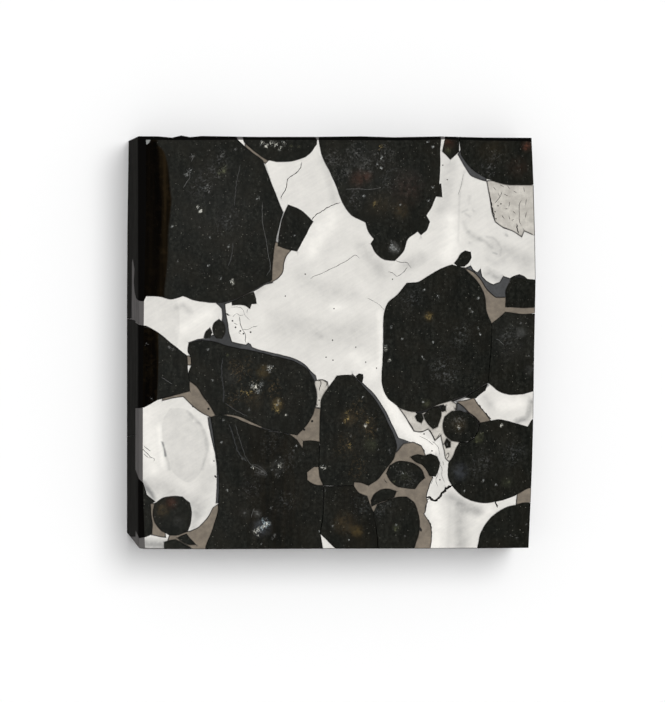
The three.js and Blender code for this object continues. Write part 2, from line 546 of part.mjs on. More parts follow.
    outline: [
      [-6.45, 6.2, C], [-6.4, 5.93, C], [-7.5, 5.58], [-8.25, 5.1], [-9, 4.78], [-9.7, 4.42],
      [-10.45, 4.02], [-11.15, 3.8, C], [-11.12, 3.2], [-10.9, 2], [-10.8, 1.2], [-10.5, 0.02, C],
      [-9.6, -0.22], [-9.05, -0.3, C], [-8.85, -0.1], [-8.65, -0.15], [-8.45, -0.53, C],
      [-7, -0.98], [-5.2, -1.36], [-4, -1.8], [-3.1, -2.28], [-2.45, -3.02, C], [-2.15, -3.2],
      [-1.96, -3.8, C], [-2.4, -4.1, C], [-3.4, -3], [-5.2, -2.1], [-8, -1.4], [-11, -0.8],
      [-14.6, -0.4, C], [-14.72, -0.05, C], [-14, 0.2], [-13.35, 0.26], [-12.6, 0.6], [-11.6, 1],
      [-11.42, 2.2], [-11.35, 3], [-11.55, 3.6], [-12, 3.9, C], [-11.2, 4.4], [-9.6, 5],
      [-8.2, 5.7], [-7.2, 6.3],
    ],
  },
];

const flat = (points) => points.map(([x, y]) => new THREE.Vector2(x, y));

// Turns hand-picked points into an even outline: smooth between the points marked as corners
function smoothOutline(points) {
  const corners = points.flatMap((point, index) => (point[2] ? [index] : []));
  const at = (index) => {
    const [x, y] = points[index % points.length];
    return new THREE.Vector3(x, y, 0);
  };
  const runs = [];
  if (corners.length === 0) {
    runs.push(new THREE.CatmullRomCurve3(points.map((_, index) => at(index)), true, 'centripetal'));
  }
  corners.forEach((start, order) => {
    const next = order + 1 < corners.length ? corners[order + 1] : corners[0] + points.length;
    const run = [];
    for (let index = start; index <= next; index += 1) run.push(at(index));
    runs.push(new THREE.CatmullRomCurve3(run, false, 'centripetal'));
  });
  const length = runs.reduce((sum, run) => sum + run.getLength(), 0);
  const step = THREE.MathUtils.clamp(length / POINTS_PER_OUTLINE, FINEST_STEP, COARSEST_STEP);
  const outline = runs.flatMap((run) => {
    const straight = run.points.length === 2;
    const pieces = straight ? 1 : Math.max(run.points.length - 1, Math.round(run.getLength() / step));
    return run.getSpacedPoints(pieces).slice(0, -1);
  });
  const result = outline.map((point) => new THREE.Vector2(point.x, point.y));
  return THREE.ShapeUtils.isClockWise(result) ? result.reverse() : result;
}

// Moves each point of a counter-clockwise outline outwards by a distance
function grow(outline, distance) {
  const count = outline.length;
  return outline.map((point, index) => {
    const before = outline[(index + count - 1) % count];
    const after = outline[(index + 1) % count];
    const incoming = new THREE.Vector2().subVectors(point, before).normalize();
    const outgoing = new THREE.Vector2().subVectors(after, point).normalize();
    const normal = new THREE.Vector2(incoming.y + outgoing.y, -incoming.x - outgoing.x).normalize();
    const spread = Math.max(0.5, normal.x * incoming.y - normal.y * incoming.x);
    return point.clone().addScaledVector(normal, distance / spread);
  });
}

// Centre that a grain's section shrinks towards, taken from the part of it that lies in the slab
function heartOf(outline) {
  const box = new THREE.Box2();
  for (const point of outline) {
    const x = THREE.MathUtils.clamp(point.x, -HALF_WIDTH, HALF_WIDTH);
    box.expandByPoint(new THREE.Vector2(x, THREE.MathUtils.clamp(point.y, -HALF_HEIGHT, HALF_HEIGHT)));
  }
  return box.getCenter(new THREE.Vector2());
}

// One closed solid through rings of equal length, lowest ring first, each counter-clockwise from above
function loft(rings) {
  const count = rings[0].length;
  const last = (rings.length - 1) * count;
  const position = rings.flat().flatMap((point) => [point.x, point.y, point.z]);
  const lowest = rings[0].map((point) => new THREE.Vector2(point.x, point.y));
  const cap = THREE.ShapeUtils.triangulateShape(lowest, []);
  const index = cap.flatMap(([a, b, c]) => [c, b, a, last + a, last + b, last + c]);
  for (let level = 0; level < rings.length - 1; level += 1) {
    for (let here = 0; here < count; here += 1) {
      const low = level * count + here;
      const lowNext = level * count + ((here + 1) % count);
      index.push(low, lowNext, lowNext + count, low, lowNext + count, low + count);
    }
  }
  return new wasm.Manifold(new wasm.Mesh({
    numProp: 3,
    vertProperties: new Float32Array(position),
    triVerts: new Uint32Array(index),
  }));
}

// Section of a grain at a height: its outline scaled about its heart, moved, and grown by the gap
function section(outline, heart, scale, shift, height, gap) {
  const scaled = outline.map((point) => new THREE.Vector2(
    heart.x + (point.x - heart.x) * scale + shift[0],
    heart.y + (point.y - heart.y) * scale + shift[1],
  ));
  return grow(scaled, gap).map((point) => new THREE.Vector3(point.x, point.y, height));
}

// Grain that runs from a top height out through the underside
function throughGrain({ outline, taper = 0.9, drift = [0, 0], top = THICKNESS }, gap) {
  const shape = smoothOutline(outline);
  const heart = heartOf(shape);
  const reach = top === THICKNESS ? OVERSHOOT : gap;
  const ringAt = (height) => {
    const way = (top - height) / top;
    return section(shape, heart, 1 + (taper - 1) * way, [drift[0] * way, drift[1] * way], height, gap);
  };
  return loft([ringAt(-OVERSHOOT), ringAt(top + reach)]);
}

// Grain that ends inside the slice, narrowing to a blunt underside
function buriedGrain({ outline, depth }, gap) {
  const shape = smoothOutline(outline);
  const heart = heartOf(shape);
  const ringAt = (below, reach) => {
    const scale = 1 - (1 - BLUNT_END) * (below / depth);
    return section(shape, heart, scale, [0, 0], THICKNESS - below - reach, gap);
  };
  return loft([ringAt(depth, gap), ringAt(-OVERSHOOT, 0)]);
}

// Prism that cuts into the left side, from its outline in [y, z] and the depth it reaches
function sideCutter({ outline, innerX }) {
  const shape = flat(outline);
  if (THREE.ShapeUtils.isClockWise(shape)) shape.reverse();
  const count = shape.length;
  const cap = THREE.ShapeUtils.triangulateShape(shape, []);
  const position = [-BEYOND, innerX].flatMap((x) => shape.flatMap((point) => [x, point.x, point.y]));
  const index = cap.flatMap(([a, b, c]) => [c, b, a, count + a, count + b, count + c]);
  for (let here = 0; here < count; here += 1) {
    const next = (here + 1) % count;
    index.push(here, next, count + next, here, count + next, count + here);
  }
  return new wasm.Manifold(new wasm.Mesh({
    numProp: 3,
    vertProperties: new Float32Array(position),
    triVerts: new Uint32Array(index),
  }));
}

function slab() {
  const ring = (key, heightOf) => slabEdge.map((station) => {
    const [x, y] = station[key];
    return new THREE.Vector3(x, y, heightOf(station));
  });
  return loft([
    ring('foot', () => 0),
    ring('rim', (station) => THICKNESS - (station.drop ?? SAWN_EDGE_DROP)),
    ring('face', () => THICKNESS),
  ]);
}

// Whole grain as it grew, before its neighbours and the saw cut it
function grownGrain(grain, gap) {
  let solid = grain.depth ? buriedGrain(grain, gap) : throughGrain(grain, gap);
  if (grain.cut) solid = solid.subtract(sideCutter(grain.cut));
  if (grain.foot) solid = solid.add(throughGrain(grain.foot, gap));
  return solid;
}

// Splits a mesh into its separate bodies and gives back the triangles of the largest one
function largestBody({ vertProperties, triVerts }) {
  const parent = Array.from({ length: vertProperties.length / 3 }, (_, index) => index);
  const rootOf = (index) => {
    let root = index;
    while (parent[root] !== root) root = parent[root];
    parent[index] = root;
    return root;
  };
  for (let corner = 0; corner < triVerts.length; corner += 3) {
    parent[rootOf(triVerts[corner + 1])] = rootOf(triVerts[corner]);
    parent[rootOf(triVerts[corner + 2])] = rootOf(triVerts[corner]);
  }
  const bodies = new Map();
  const vertex = (index) => new THREE.Vector3().fromArray(vertProperties, index * 3);
  for (let corner = 0; corner < triVerts.length; corner += 3) {
    const root = rootOf(triVerts[corner]);
    const body = bodies.get(root) ?? { volume: 0, triangles: [] };
    const [a, b, c] = [0, 1, 2].map((offset) => triVerts[corner + offset]);
    body.volume += vertex(a).dot(vertex(b).cross(vertex(c))) / 6;
    body.triangles.push(a, b, c);
    bodies.set(root, body);
  }
  return [...bodies.values()].sort((one, other) => other.volume - one.volume)[0].triangles;
}

function toMesh(solid, name, material) {
  const data = solid.getMesh();
  const geometry = new THREE.BufferGeometry();
  geometry.setAttribute('position', new THREE.BufferAttribute(new Float32Array(data.vertProperties), 3));
  geometry.setIndex(largestBody(data));
  const separate = geometry.toNonIndexed();
  separate.computeVertexNormals();
  const mesh = new THREE.Mesh(separate, material);
  mesh.name = name;
  return mesh;
}

const group = new THREE.Group();
const block = slab();
let matrix = block;
const earlier = [];

for (const grain of grains) {
  const grown = grownGrain(grain, GAP);
  let solid = grownGrain(grain, 0).intersect(block);
  for (const neighbour of earlier) solid = solid.subtract(neighbour);
  group.add(toMesh(solid, grain.name, finish[grain.finish]));
  earlier.push(grown);
  matrix = matrix.subtract(grown);
}
group.add(toMesh(matrix, 'metal_matrix', finish.metal));

export default group;
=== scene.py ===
"""Looks of a pallasite meteorite slice: olivine crystals in bright nickel-iron, polished face up.

Every grain keeps the walls, sides and underside of its solid, and gets a new polished face: its edge is
drawn as a fine curve, and cracks, pits, inner flakes and clouds are part of that face's mesh. Sizes and
places are in millimetres in the frame of the solids, and become metres where a mesh is made.
"""

from __future__ import annotations

import json
import logging
import math
import random
from dataclasses import dataclass, field
from enum import Enum
from typing import Sequence

import bpy
import numpy as np
from mathutils import Matrix, Vector, geometry, noise

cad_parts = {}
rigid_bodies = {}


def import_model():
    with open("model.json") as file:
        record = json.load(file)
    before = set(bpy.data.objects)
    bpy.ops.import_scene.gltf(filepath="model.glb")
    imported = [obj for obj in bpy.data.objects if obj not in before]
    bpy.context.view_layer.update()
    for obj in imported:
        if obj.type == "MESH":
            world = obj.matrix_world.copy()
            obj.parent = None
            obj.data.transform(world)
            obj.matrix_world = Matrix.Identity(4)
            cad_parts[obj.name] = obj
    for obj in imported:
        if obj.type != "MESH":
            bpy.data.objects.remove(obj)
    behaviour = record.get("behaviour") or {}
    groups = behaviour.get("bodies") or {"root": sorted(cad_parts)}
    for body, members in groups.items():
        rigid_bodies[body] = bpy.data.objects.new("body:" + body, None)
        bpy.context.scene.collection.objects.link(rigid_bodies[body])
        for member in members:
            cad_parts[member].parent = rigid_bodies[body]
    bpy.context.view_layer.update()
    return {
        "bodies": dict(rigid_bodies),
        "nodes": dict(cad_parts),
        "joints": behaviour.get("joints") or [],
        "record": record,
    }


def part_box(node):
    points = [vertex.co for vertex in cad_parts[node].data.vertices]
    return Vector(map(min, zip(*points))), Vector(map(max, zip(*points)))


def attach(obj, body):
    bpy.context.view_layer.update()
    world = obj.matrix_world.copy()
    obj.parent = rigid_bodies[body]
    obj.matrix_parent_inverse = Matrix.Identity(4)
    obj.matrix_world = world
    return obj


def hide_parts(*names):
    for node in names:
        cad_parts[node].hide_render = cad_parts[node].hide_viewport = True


LOG = logging.getLogger("pallasite")

MM = 0.001
# Height of the photograph, in pixels.
IMAGE_HEIGHT = 702

# How far the slice's slightly hollow sides lie inside their hull, in mm.
HULL_SLACK = 0.13
# Spacing of the points along a crack, in mm.
CRACK_STEP = 0.16
# Spacing of the points along the edge of a cloud, in mm.
CLOUD_STEP = 0.11
# Points closer than this are one point, in mm.
WELD = 1e-5
# How far below the polished face a corner may lie and still be part of it, in mm.
LEVEL_SLACK = 0.002
# Stand in for nought, and for a length of nought in mm, where they would be divided by.
TINY, TINY_LENGTH = 1e-12, 1e-9
# How many points are measured against an outline at once, so that the arrays stay small.
BATCH = 800
# Least distance from the outline, over their own spacing, of the lip's points and of the grid's.
LIP_ROOM, GRID_ROOM = 0.8, 0.4
# Rows of points beside a smear's middle, over its width, and the least spacing along them in mm.
SMEAR_ROWS, SMEAR_STEP = (-1.0, -0.5, 0.0, 0.5, 1.0), 0.1
# Rows of points beside a cloud's outline, over the width of its edge.
CLOUD_ROWS = (-1.0, 0.0, 0.5, 1.0)
# How far a crack or a thread wavers, over its width.
WAVER_SHARE = 0.6
# How quickly a crack widens from its ends, and the width that it has there over its full width.
TAPER, BLUNT_END = 8, 0.35
# Width of a crack over its full width: the middle value, and how far it strays from that.
CRACK_WIDTH, CRACK_STRAY = 0.85, 0.5
# Share of a crack's width that has the dark filling.
FILLED_WIDTH = 0.96
# Depth of a pit, and radius of its lowest part, over its radius.
PIT_DEPTH, PIT_FLOOR = 0.5, 0.2
# Rings of points that carry a soft spot, and the least distance between two of them in mm.
SPOT_RINGS, RING_STEP = 5, 0.06
# Turn of each ring against the one within, in degrees, and the corners that it has more.
RING_TURN, RING_CORNERS = 31.0, 6.3
# Least and greatest radius of a cleavage face that glints, in mm, and how much larger the first one is.
SHARD_SIZES, FIRST_SHARD = (0.016, 0.04), 1.3
# Least and greatest length over width of such a face, its corners, and their jolt over its radius.
SHARD_STRETCH, SHARD_CORNERS, SHARD_JOLT = (1.1, 3.4), 5, 0.4
# How far the directions of such faces stray, in degrees.
SHARD_STRAY = 26
# Reach of the bright faces and the dim ones over a glint's spread, and how closely they gather.
BRIGHT_REACH, DIM_REACH, SHARD_GATHER = 0.7, 1.3, 0.7
# Length and width of a glint's soft painted light over its spread.
SPARK_LENGTH, SPARK_WIDTH = 1.8, 1.2
# Numbers of the materials on a grain: its face, its sides, and the first of its flecks.
FACE, SIDE, FIRST_FLECK = 0, 1, 2

Point = tuple[float, float]
Path = tuple[Point, ...]
Colour = tuple[float, float, float]
Socket = bpy.types.NodeSocket


class Tone(Enum):
    """Colours of what shows in or on a grain, named as a maker would see them."""

    WHITE = (0.64, 0.63, 0.56)
    SILVER = (0.3, 0.31, 0.3)
    ASH = (0.1, 0.1, 0.096)
    SMOKE = (0.045, 0.045, 0.043)
    GOLD = (0.2, 0.15, 0.055)
    HONEY = (0.07, 0.047, 0.016)
    BRONZE = (0.03, 0.02, 0.009)
    OLIVE = (0.05, 0.052, 0.026)
    MOSS = (0.02, 0.023, 0.012)
    ICE = (0.32, 0.4, 0.43)
    STEEL = (0.045, 0.05, 0.062)
    HAZE = (0.03, 0.031, 0.031)
    RUST = (0.045, 0.014, 0.008)
    PITCH = (0.006, 0.0055, 0.005)

    def dimmer(self) -> "Tone":
        """Gives the tone of the same kind that catches less light."""
        steps = {
            Tone.WHITE: Tone.SILVER,
            Tone.SILVER: Tone.ASH,
            Tone.ASH: Tone.SMOKE,
            Tone.ICE: Tone.STEEL,
            Tone.GOLD: Tone.HONEY,
            Tone.HONEY: Tone.BRONZE,
            Tone.OLIVE: Tone.MOSS,
        }
        return steps.get(self, self)


@dataclass(frozen=True)
class Crack:
    """Open crack or scratch, cut into the face as a groove with dark flanks.

    Attributes:
        path: points along its middle, in mm.
        width: width at the face, in mm.
        depth: depth of its bottom below the face, in mm.
    """

    path: Path
    width: float
    depth: float


@dataclass(frozen=True)
class Pit:
    """Small round hollow in the face.

    Attributes:
        at: its middle, in mm.
        radius: its radius, in mm.
        stretch: length over width.
        lean: direction of its length, in degrees from +X.
    """

    at: Point
    radius: float
    stretch: float = 1.0
    lean: float = 0.0


@dataclass(frozen=True)
class Thread:
    """Healed crack inside a crystal, seen as a faint line.

    Attributes:
        path: points along it, in mm.
        tone: its colour.
        width: its width, in mm.
    """

    path: Path
    tone: Tone
    width: float


@dataclass(frozen=True)
class Glint:
    """Cluster of small cleavage faces inside a crystal, with the light they catch painted on as bright
    colour: a painted glint.

    Attributes:
        at: middle of the cluster, in mm.
        tone: colour of its faces.
        spread: radius of the cluster, in mm.
        count: number of faces.
        lean: direction the faces are drawn out in, in degrees from +X.
    """

    at: Point
    tone: Tone
    spread: float
    count: int
    lean: float


@dataclass(frozen=True)
class Patch:
    """Soft cloud of colour inside a crystal.

    Attributes:
        at: its middle, in mm.
        radius: where it has faded out, in mm.
        tone: its colour.
        strength: share of the colour at its middle.
    """

    at: Point
    radius: float
    tone: Tone
    strength: float


@dataclass(frozen=True)
class Spot:
    """Flat fleck with a sharp outline in the face.

    Attributes:
        outline: its corners, in mm.
        tone: its colour.
    """

    outline: Path
    tone: Tone


@dataclass(frozen=True)
class Smear:
    """Soft stroke that darkens or brightens a face, and on a crystal dulls what it mirrors.

    Attributes:
        path: points along its middle, in mm.
        width: distance from the middle at which it has faded out, in mm.
        shade: how much it darkens; negative brightens.
    """

    path: Path
    width: float
    shade: float


@dataclass(frozen=True)
class Cloud:
    """Part of a face that is darker or brighter, with a clear edge.

    Attributes:
        outline: its corners, in mm.
        shade: how much it darkens; negative brightens.
        edge: width over which it fades at its edge, in mm.
    """

    outline: Path
    shade: float
    edge: float

    def ring(self) -> np.ndarray:
        """Draws its outline as a fine closed line."""
        return fine_path(closed(self.outline), CLOUD_STEP)


Mark = Crack | Pit | Thread | Glint | Patch | Spot | Smear | Cloud


def against_segments(
    points: np.ndarray, starts: np.ndarray, ends: np.ndarray
) -> tuple[np.ndarray, np.ndarray]:
    """Measures points against straight segments.

    Args:
        points: (n, 2) places in mm.
        starts: (m, 2) starts of the segments.
        ends: (m, 2) ends of the same segments.

    Returns:
        (n, m) squares of the distances, and (n, m) shares of the way along each segment at its nearest
        place.
    """
    along = ends - starts
    length = np.maximum((along**2).sum(1), TINY)
    offset = points[:, None] - starts
    share = np.clip((offset * along).sum(2) / length, 0, 1)
    gap = offset - share[..., None] * along
    return (gap**2).sum(2), share


def path_distance(points: np.ndarray, path: np.ndarray) -> np.ndarray:
    """Measures how far points lie from a path, both in mm."""
    squares, _ = against_segments(points, path[:-1], path[1:])
    return np.sqrt(squares.min(1))


def inside(points: np.ndarray, starts: np.ndarray, ends: np.ndarray) -> np.ndarray:
    """Tells which points lie inside a set of closed outlines, holes included.

    Args:
        points: (n, 2) places.
        starts: (m, 2) starts of the outlines' edges.
        ends: (m, 2) ends of the same edges.

    Returns:
        n booleans.
    """
    result = np.zeros(len(points), bool)
    rise = ends[:, 1] - starts[:, 1]
    slope = (ends[:, 0] - starts[:, 0]) / np.where(np.abs(rise) < TINY, TINY, rise)
    for first in range(0, len(points), BATCH):
        some = slice(first, first + BATCH)
        across, height = points[some, 0:1], points[some, 1:2]
        spans = (starts[:, 1] > height) != (ends[:, 1] > height)
        meets = starts[:, 0] + (height - starts[:, 1]) * slope
        result[some] = (spans & (across < meets)).sum(1) % 2 == 1
    return result


def fade(distance: np.ndarray, width: float) -> np.ndarray:
    """Falls smoothly from 1 at no distance to 0 at the width."""
    share = np.clip(1 - distance / width, 0, 1)
    return share * share * (3 - 2 * share)


def closed(path: Sequence[Point]) -> np.ndarray:
    """Gives a path's points with the first repeated at the end."""
    return np.array([*path, path[0]], float)


def curve_through(points: np.ndarray, step: float) -> list[np.ndarray]:
    """Draws a smooth curve through points, one stretch for each pair.

    Args:
        points: (n, 2) points of an open run.
        step: longest distance between the points made.

    Returns:
        For each of the n - 1 stretches, the new points strictly between its ends.
    """
    first = 2 * points[0] - points[1]
    last = 2 * points[-1] - points[-2]
    around = np.vstack([first, points, last])
    stretches = []
    for index in range(len(points) - 1):
        before, start, end, after = around[index : index + 4]
        length = float(np.linalg.norm(end - start))
        count = max(1, math.ceil(length / step))
        share = (np.arange(1, count) / count)[:, None]
        reach = max(length, TINY_LENGTH)
        run_in = length + float(np.linalg.norm(start - before))
        run_out = length + float(np.linalg.norm(after - end))
        lean_in = (end - before) / max(run_in, TINY_LENGTH) * reach
        lean_out = (after - start) / max(run_out, TINY_LENGTH) * reach
        cube, square = share**3, share**2
        stretches.append(
            (2 * cube - 3 * square + 1) * start
            + (cube - 2 * square + share) * lean_in
            + (3 * square - 2 * cube) * end
            + (cube - square) * lean_out
        )
    return stretches


@dataclass(frozen=True)
class Unevenness:
    """Level cut through a field of noise, which makes lines uneven.

    Attributes:
        rate: how fast the noise changes along a line, per mm.
        level: height of the cut.
    """

    rate: float
    level: float

    def place(self, x: float, y: float) -> Vector:
        """Gives the place in the noise for a place on the face in mm."""
        return Vector((x * self.rate, y * self.rate, self.level))

    def along(self, line: np.ndarray) -> np.ndarray:
        """Gives one value for each of a line's points."""
        return np.array([noise.noise(self.place(x, y)) for x, y in line])


SLOW_WANDER = Unevenness(1.1, 3.7)
QUICK_WANDER = Unevenness(3.6, 9.1)
CRACK_WAVER = Unevenness(5.3, 1.7)
CRACK_WIDENING = Unevenness(4.1, 5.9)


@dataclass
class Ripple:
    """Small wander that grain edges have, the same for both grains that share an edge.

    Attributes:
        face: (n, 2) outline of the whole polished face, in mm.
        coarse: height of the long waves, in mm.
        fine: height of the short waves, in mm.
        calm: distance from the face's outline within which the wander dies away, in mm.
    """

    face: np.ndarray
    coarse: float = 0.035
    fine: float = 0.016
    calm: float = 0.8

    def moved(self, points: np.ndarray) -> np.ndarray:
        """Moves points by the wander.

        Args:
            points: (n, 2) points in mm.

        Returns:
            The moved points.
        """
        room = np.clip(path_distance(points, self.face) / self.calm, 0, 1)
        shift = np.zeros_like(points)
        for row, (x, y) in enumerate(points):
            slow = noise.noise_vector(SLOW_WANDER.place(x, y))
            quick = noise.noise_vector(QUICK_WANDER.place(x, y))
            shift[row] = (
                self.coarse * slow.x + self.fine * quick.x,
                self.coarse * slow.y + self.fine * quick.y,
            )
        return points + shift * room[:, None]


@dataclass
class Solid:
    """Welded copy of a node's mesh.

    Attributes:
        points: (n, 3) corners in mm.
        triangles: (m, 3) corner numbers.
    """

    points: np.ndarray
    triangles: np.ndarray

    @staticmethod
    def of(node: bpy.types.Object) -> "Solid":
        """Reads a node's mesh and welds the corners that meet.

        Args:
            node: the node's object.

        Returns:
            The welded solid.
        """
        mesh = node.data
        mesh.calc_loop_triangles()
        places = np.zeros(len(mesh.vertices) * 3)
        mesh.vertices.foreach_get("co", places)
        corners = np.zeros(len(mesh.loop_triangles) * 3, np.int32)
        mesh.loop_triangles.foreach_get("vertices", corners)
        rounded = np.round(places.reshape(-1, 3) / MM, 4)
        points, welded = np.unique(rounded, axis=0, return_inverse=True)
        triangles = welded.ravel()[corners].reshape(-1, 3)
        a, b, c = triangles.T
        return Solid(points, triangles[(a != b) & (b != c) & (c != a)])

    def top_triangles(self, height: float) -> np.ndarray:
        """Tells which triangles lie on the polished face."""
        level = self.points[:, 2] > height - LEVEL_SLACK
        return level[self.triangles].all(1)


def directed_edges(triangles: np.ndarray) -> set[tuple[int, int]]:
    """Gives the start and end of every edge of every triangle."""
    return {(int(t[k]), int(t[(k + 1) % 3])) for t in triangles for k in range(3)}


def edge_loops(triangles: np.ndarray) -> list[list[int]]:
    """Finds the closed loops around a set of triangles.

    Args:
        triangles: (n, 3) corner numbers, all turning the same way.

    Returns:
        Each loop's corner numbers, in the triangles' own direction.
    """
    edges = directed_edges(triangles)
    following: dict[int, list[int]] = {}
    for start, end in sorted(edges):
        if (end, start) not in edges:
            following.setdefault(start, []).append(end)
    loops = []
    while following:
        start = next(iter(following))
        loop = [start]
        here = following[start].pop()
        if not following[start]:
            del following[start]
        while here != start:
            loop.append(here)
            onward = following[here].pop()
            if not following[here]:
                del following[here]
            here = onward
        loops.append(loop)
    return loops


@dataclass
class PolishedFace:
    """New polished face for one grain, with its marks worked into the mesh.

    Attributes:
        height: height of the face, in mm.
        ripple: wander of the grain edges.
        marks: what shows on the face.
        grid: spacing of the points inside, in mm.
        lip: width of the worn lip along the outline, in mm.
        lip_drop: how far the outline lies below the face, in mm.
        edge_step: longest edge along an outline, in mm.
        sharp_turn: turn in degrees from which an outline keeps a sharp corner.
    """

    height: float
    ripple: Ripple
    marks: list[Mark]
    grid: float
    lip: float
    lip_drop: float
    edge_step: float = 0.14
    sharp_turn: float = 34.0

    def __post_init__(self) -> None:
        """Starts the lists that the face is gathered in."""
        self.places: list[np.ndarray] = []
        self.links: list[tuple[int, int]] = []
        self.total = 0
        self.grooves: list[tuple[np.ndarray, np.ndarray, float]] = []
        self.pits: list[tuple[np.ndarray, Pit]] = []
        self.flecks: list[tuple[np.ndarray, Tone]] = []
        self.starts = np.zeros((0, 2))
        self.ends = np.zeros((0, 2))

    def add_points(self, points: np.ndarray) -> list[int]:
        """Adds points to the face.

        Args:
            points: (n, 2) points in mm.

        Returns:
            Their numbers.
        """
        self.places.append(np.asarray(points, float).reshape(-1, 2))
        numbers = list(range(self.total, self.total + len(self.places[-1])))
        self.total += len(numbers)
        return numbers

    def add_line(self, points: np.ndarray) -> list[int]:
        """Adds points joined one to the next."""
        numbers = self.add_points(points)
        self.links += list(zip(numbers, numbers[1:]))
        return numbers

    def on_face_edge(self, points: np.ndarray) -> np.ndarray:
        """Tells which points lie on the outline of the whole polished face."""
        return path_distance(points, self.ripple.face) < HULL_SLACK

    def add_outline(self, loop: np.ndarray) -> list[list[int]]:
        """Adds one closed outline, made fine and natural between its corners.

        Args:
            loop: (n, 2) corners of the coarse outline.

        Returns:
            For each coarse corner, the numbers from it to just before the next corner.
        """
        count = len(loop)
        outer = self.on_face_edge(loop)
        incoming = loop - np.roll(loop, 1, 0)
        outgoing = np.roll(loop, -1, 0) - loop
        turn = np.degrees(
            np.arctan2(
                incoming[:, 0] * outgoing[:, 1] - incoming[:, 1] * outgoing[:, 0],
                (incoming * outgoing).sum(1),
            )
        )
        sharp = (np.abs(turn) > self.sharp_turn) | outer
        between: list[np.ndarray] = [np.zeros((0, 2))] * count
        first = int(np.argmax(sharp)) if sharp.any() else 0
        order = [(first + k) % count for k in range(count + 1)]
        run = [order[0]]
        for corner in order[1:]:
            run.append(corner)
            if sharp[corner] or corner == order[-1]:
                if not sharp.any():
                    ring = loop[[order[-2], *run, order[1]]]
                    stretches = curve_through(ring, self.edge_step)[1:-1]
                else:
                    stretches = curve_through(loop[run], self.edge_step)
                for here, stretch in zip(run[:-1], stretches):
                    straight = outer[here] and outer[(here + 1) % count]
                    between[here] = self.straight_points(loop, here) if straight else stretch
                run = [corner]
        pieces = [np.vstack([loop[k : k + 1], between[k]]) for k in range(count)]
        points = self.ripple.moved(np.vstack(pieces))
        numbers = self.add_points(points)
        self.links += list(zip(numbers, numbers[1:] + numbers[:1]))
        self.starts = np.vstack([self.starts, points])
        self.ends = np.vstack([self.ends, np.roll(points, -1, 0)])
        groups, first = [], 0
        for piece in pieces:
            groups.append(numbers[first : first + len(piece)])
            first += len(piece)
        return groups

    def straight_points(self, loop: np.ndarray, here: int) -> np.ndarray:
        """Gives the points along one straight edge of an outline, without its ends."""
        start, end = loop[here], loop[(here + 1) % len(loop)]
        count = max(1, math.ceil(float(np.linalg.norm(end - start)) / (3 * self.edge_step)))
        share = (np.arange(1, count) / count)[:, None]
        return start * (1 - share) + end * share

    def add_inner_points(self) -> None:
        """Adds the lip's inner line and a loose grid inside the outlines."""
        along = self.ends - self.starts
        length = np.maximum(np.linalg.norm(along, axis=1, keepdims=True), TINY_LENGTH)
        inward = np.stack([-along[:, 1], along[:, 0]], 1) / length
        rim = (self.starts + self.ends) / 2 + inward * self.lip
        low = self.starts.min(0) + self.grid / 2
        high = self.starts.max(0)
        xs, ys = np.arange(low[0], high[0], self.grid), np.arange(low[1], high[1], self.grid)
        mesh_x, mesh_y = np.meshgrid(xs, ys)
        mesh_x[1::2] += self.grid / 2
        loose = np.stack([mesh_x.ravel(), mesh_y.ravel()], 1)
        for points, room in ((rim, self.lip * LIP_ROOM), (loose, self.grid * GRID_ROOM)):
            points = points[inside(points, self.starts, self.ends)]
            if len(points):
                self.add_points(points[self.edge_distance(points) > room])

    def edge_distance(self, points: np.ndarray) -> np.ndarray:
        """Measures how far points lie from the grain's outline."""
        result = np.zeros(len(points))
        for first in range(0, len(points), BATCH):
            some = slice(first, first + BATCH)
            squares, _ = against_segments(points[some], self.starts, self.ends)
            result[some] = np.sqrt(squares.min(1))
        return result

    def add_mark(self, mark: Mark) -> None:
        """Works the lines of one mark into the face's mesh.

        Args:
            mark: a mark of any kind.
        """
        if isinstance(mark, Crack):
            self.add_groove(mark)
        elif isinstance(mark, Pit):
            self.add_pit(mark)
        elif isinstance(mark, Thread):
            self.add_thread(mark)
        elif isinstance(mark, Glint):
            self.add_points(local_points(mark.at, mark.spread * SPARK_LENGTH))
            for shard, tone in glint_shards(mark):
                self.add_fleck(shard, tone)
        elif isinstance(mark, Patch):
            self.add_points(local_points(mark.at, mark.radius))
        elif isinstance(mark, Spot):
            self.add_fleck(np.array(mark.outline, float), mark.tone)
        elif isinstance(mark, Smear):
            middle = fine_path(mark.path, max(mark.width / 3, SMEAR_STEP))
            for share in SMEAR_ROWS:
                self.add_points(sideways(middle, share * mark.width))
        elif isinstance(mark, Cloud):
            ring = mark.ring()
            for share in CLOUD_ROWS:
                self.add_points(sideways(ring, share * mark.edge))

    def add_groove(self, crack: Crack) -> None:
        """Adds a crack's bottom and both its lips as lines."""
        middle = wavering(fine_path(crack.path, CRACK_STEP), crack.width * WAVER_SHARE)
        half = crack_half_width(middle, crack.width)
        self.grooves.append((middle, half, crack.depth))
        self.add_line(middle)
        for side in (1, -1):
            self.add_line(sideways(middle, side * half))

    def add_pit(self, pit: Pit) -> None:
        """Adds a pit's rim and its lowest point."""
        ring = oval(pit.at, pit.radius, pit.stretch, pit.lean)
        self.pits.append((ring, pit))
        self.add_line(np.vstack([ring, ring[:1]]))
        self.add_points(np.array([pit.at]))

    def add_thread(self, thread: Thread) -> None:
        """Adds both edges of a thread as lines."""
        middle = wavering(fine_path(thread.path, CRACK_STEP), thread.width * WAVER_SHARE)
        half = crack_half_width(middle, thread.width)
        outline = np.vstack([sideways(middle, half), sideways(middle, -half)[::-1]])
        self.add_fleck(outline, thread.tone)

    def add_fleck(self, outline: np.ndarray, tone: Tone) -> None:
        """Adds a flat fleck with its own colour."""
        self.flecks.append((outline, tone))
        self.add_line(np.vstack([outline, outline[:1]]))

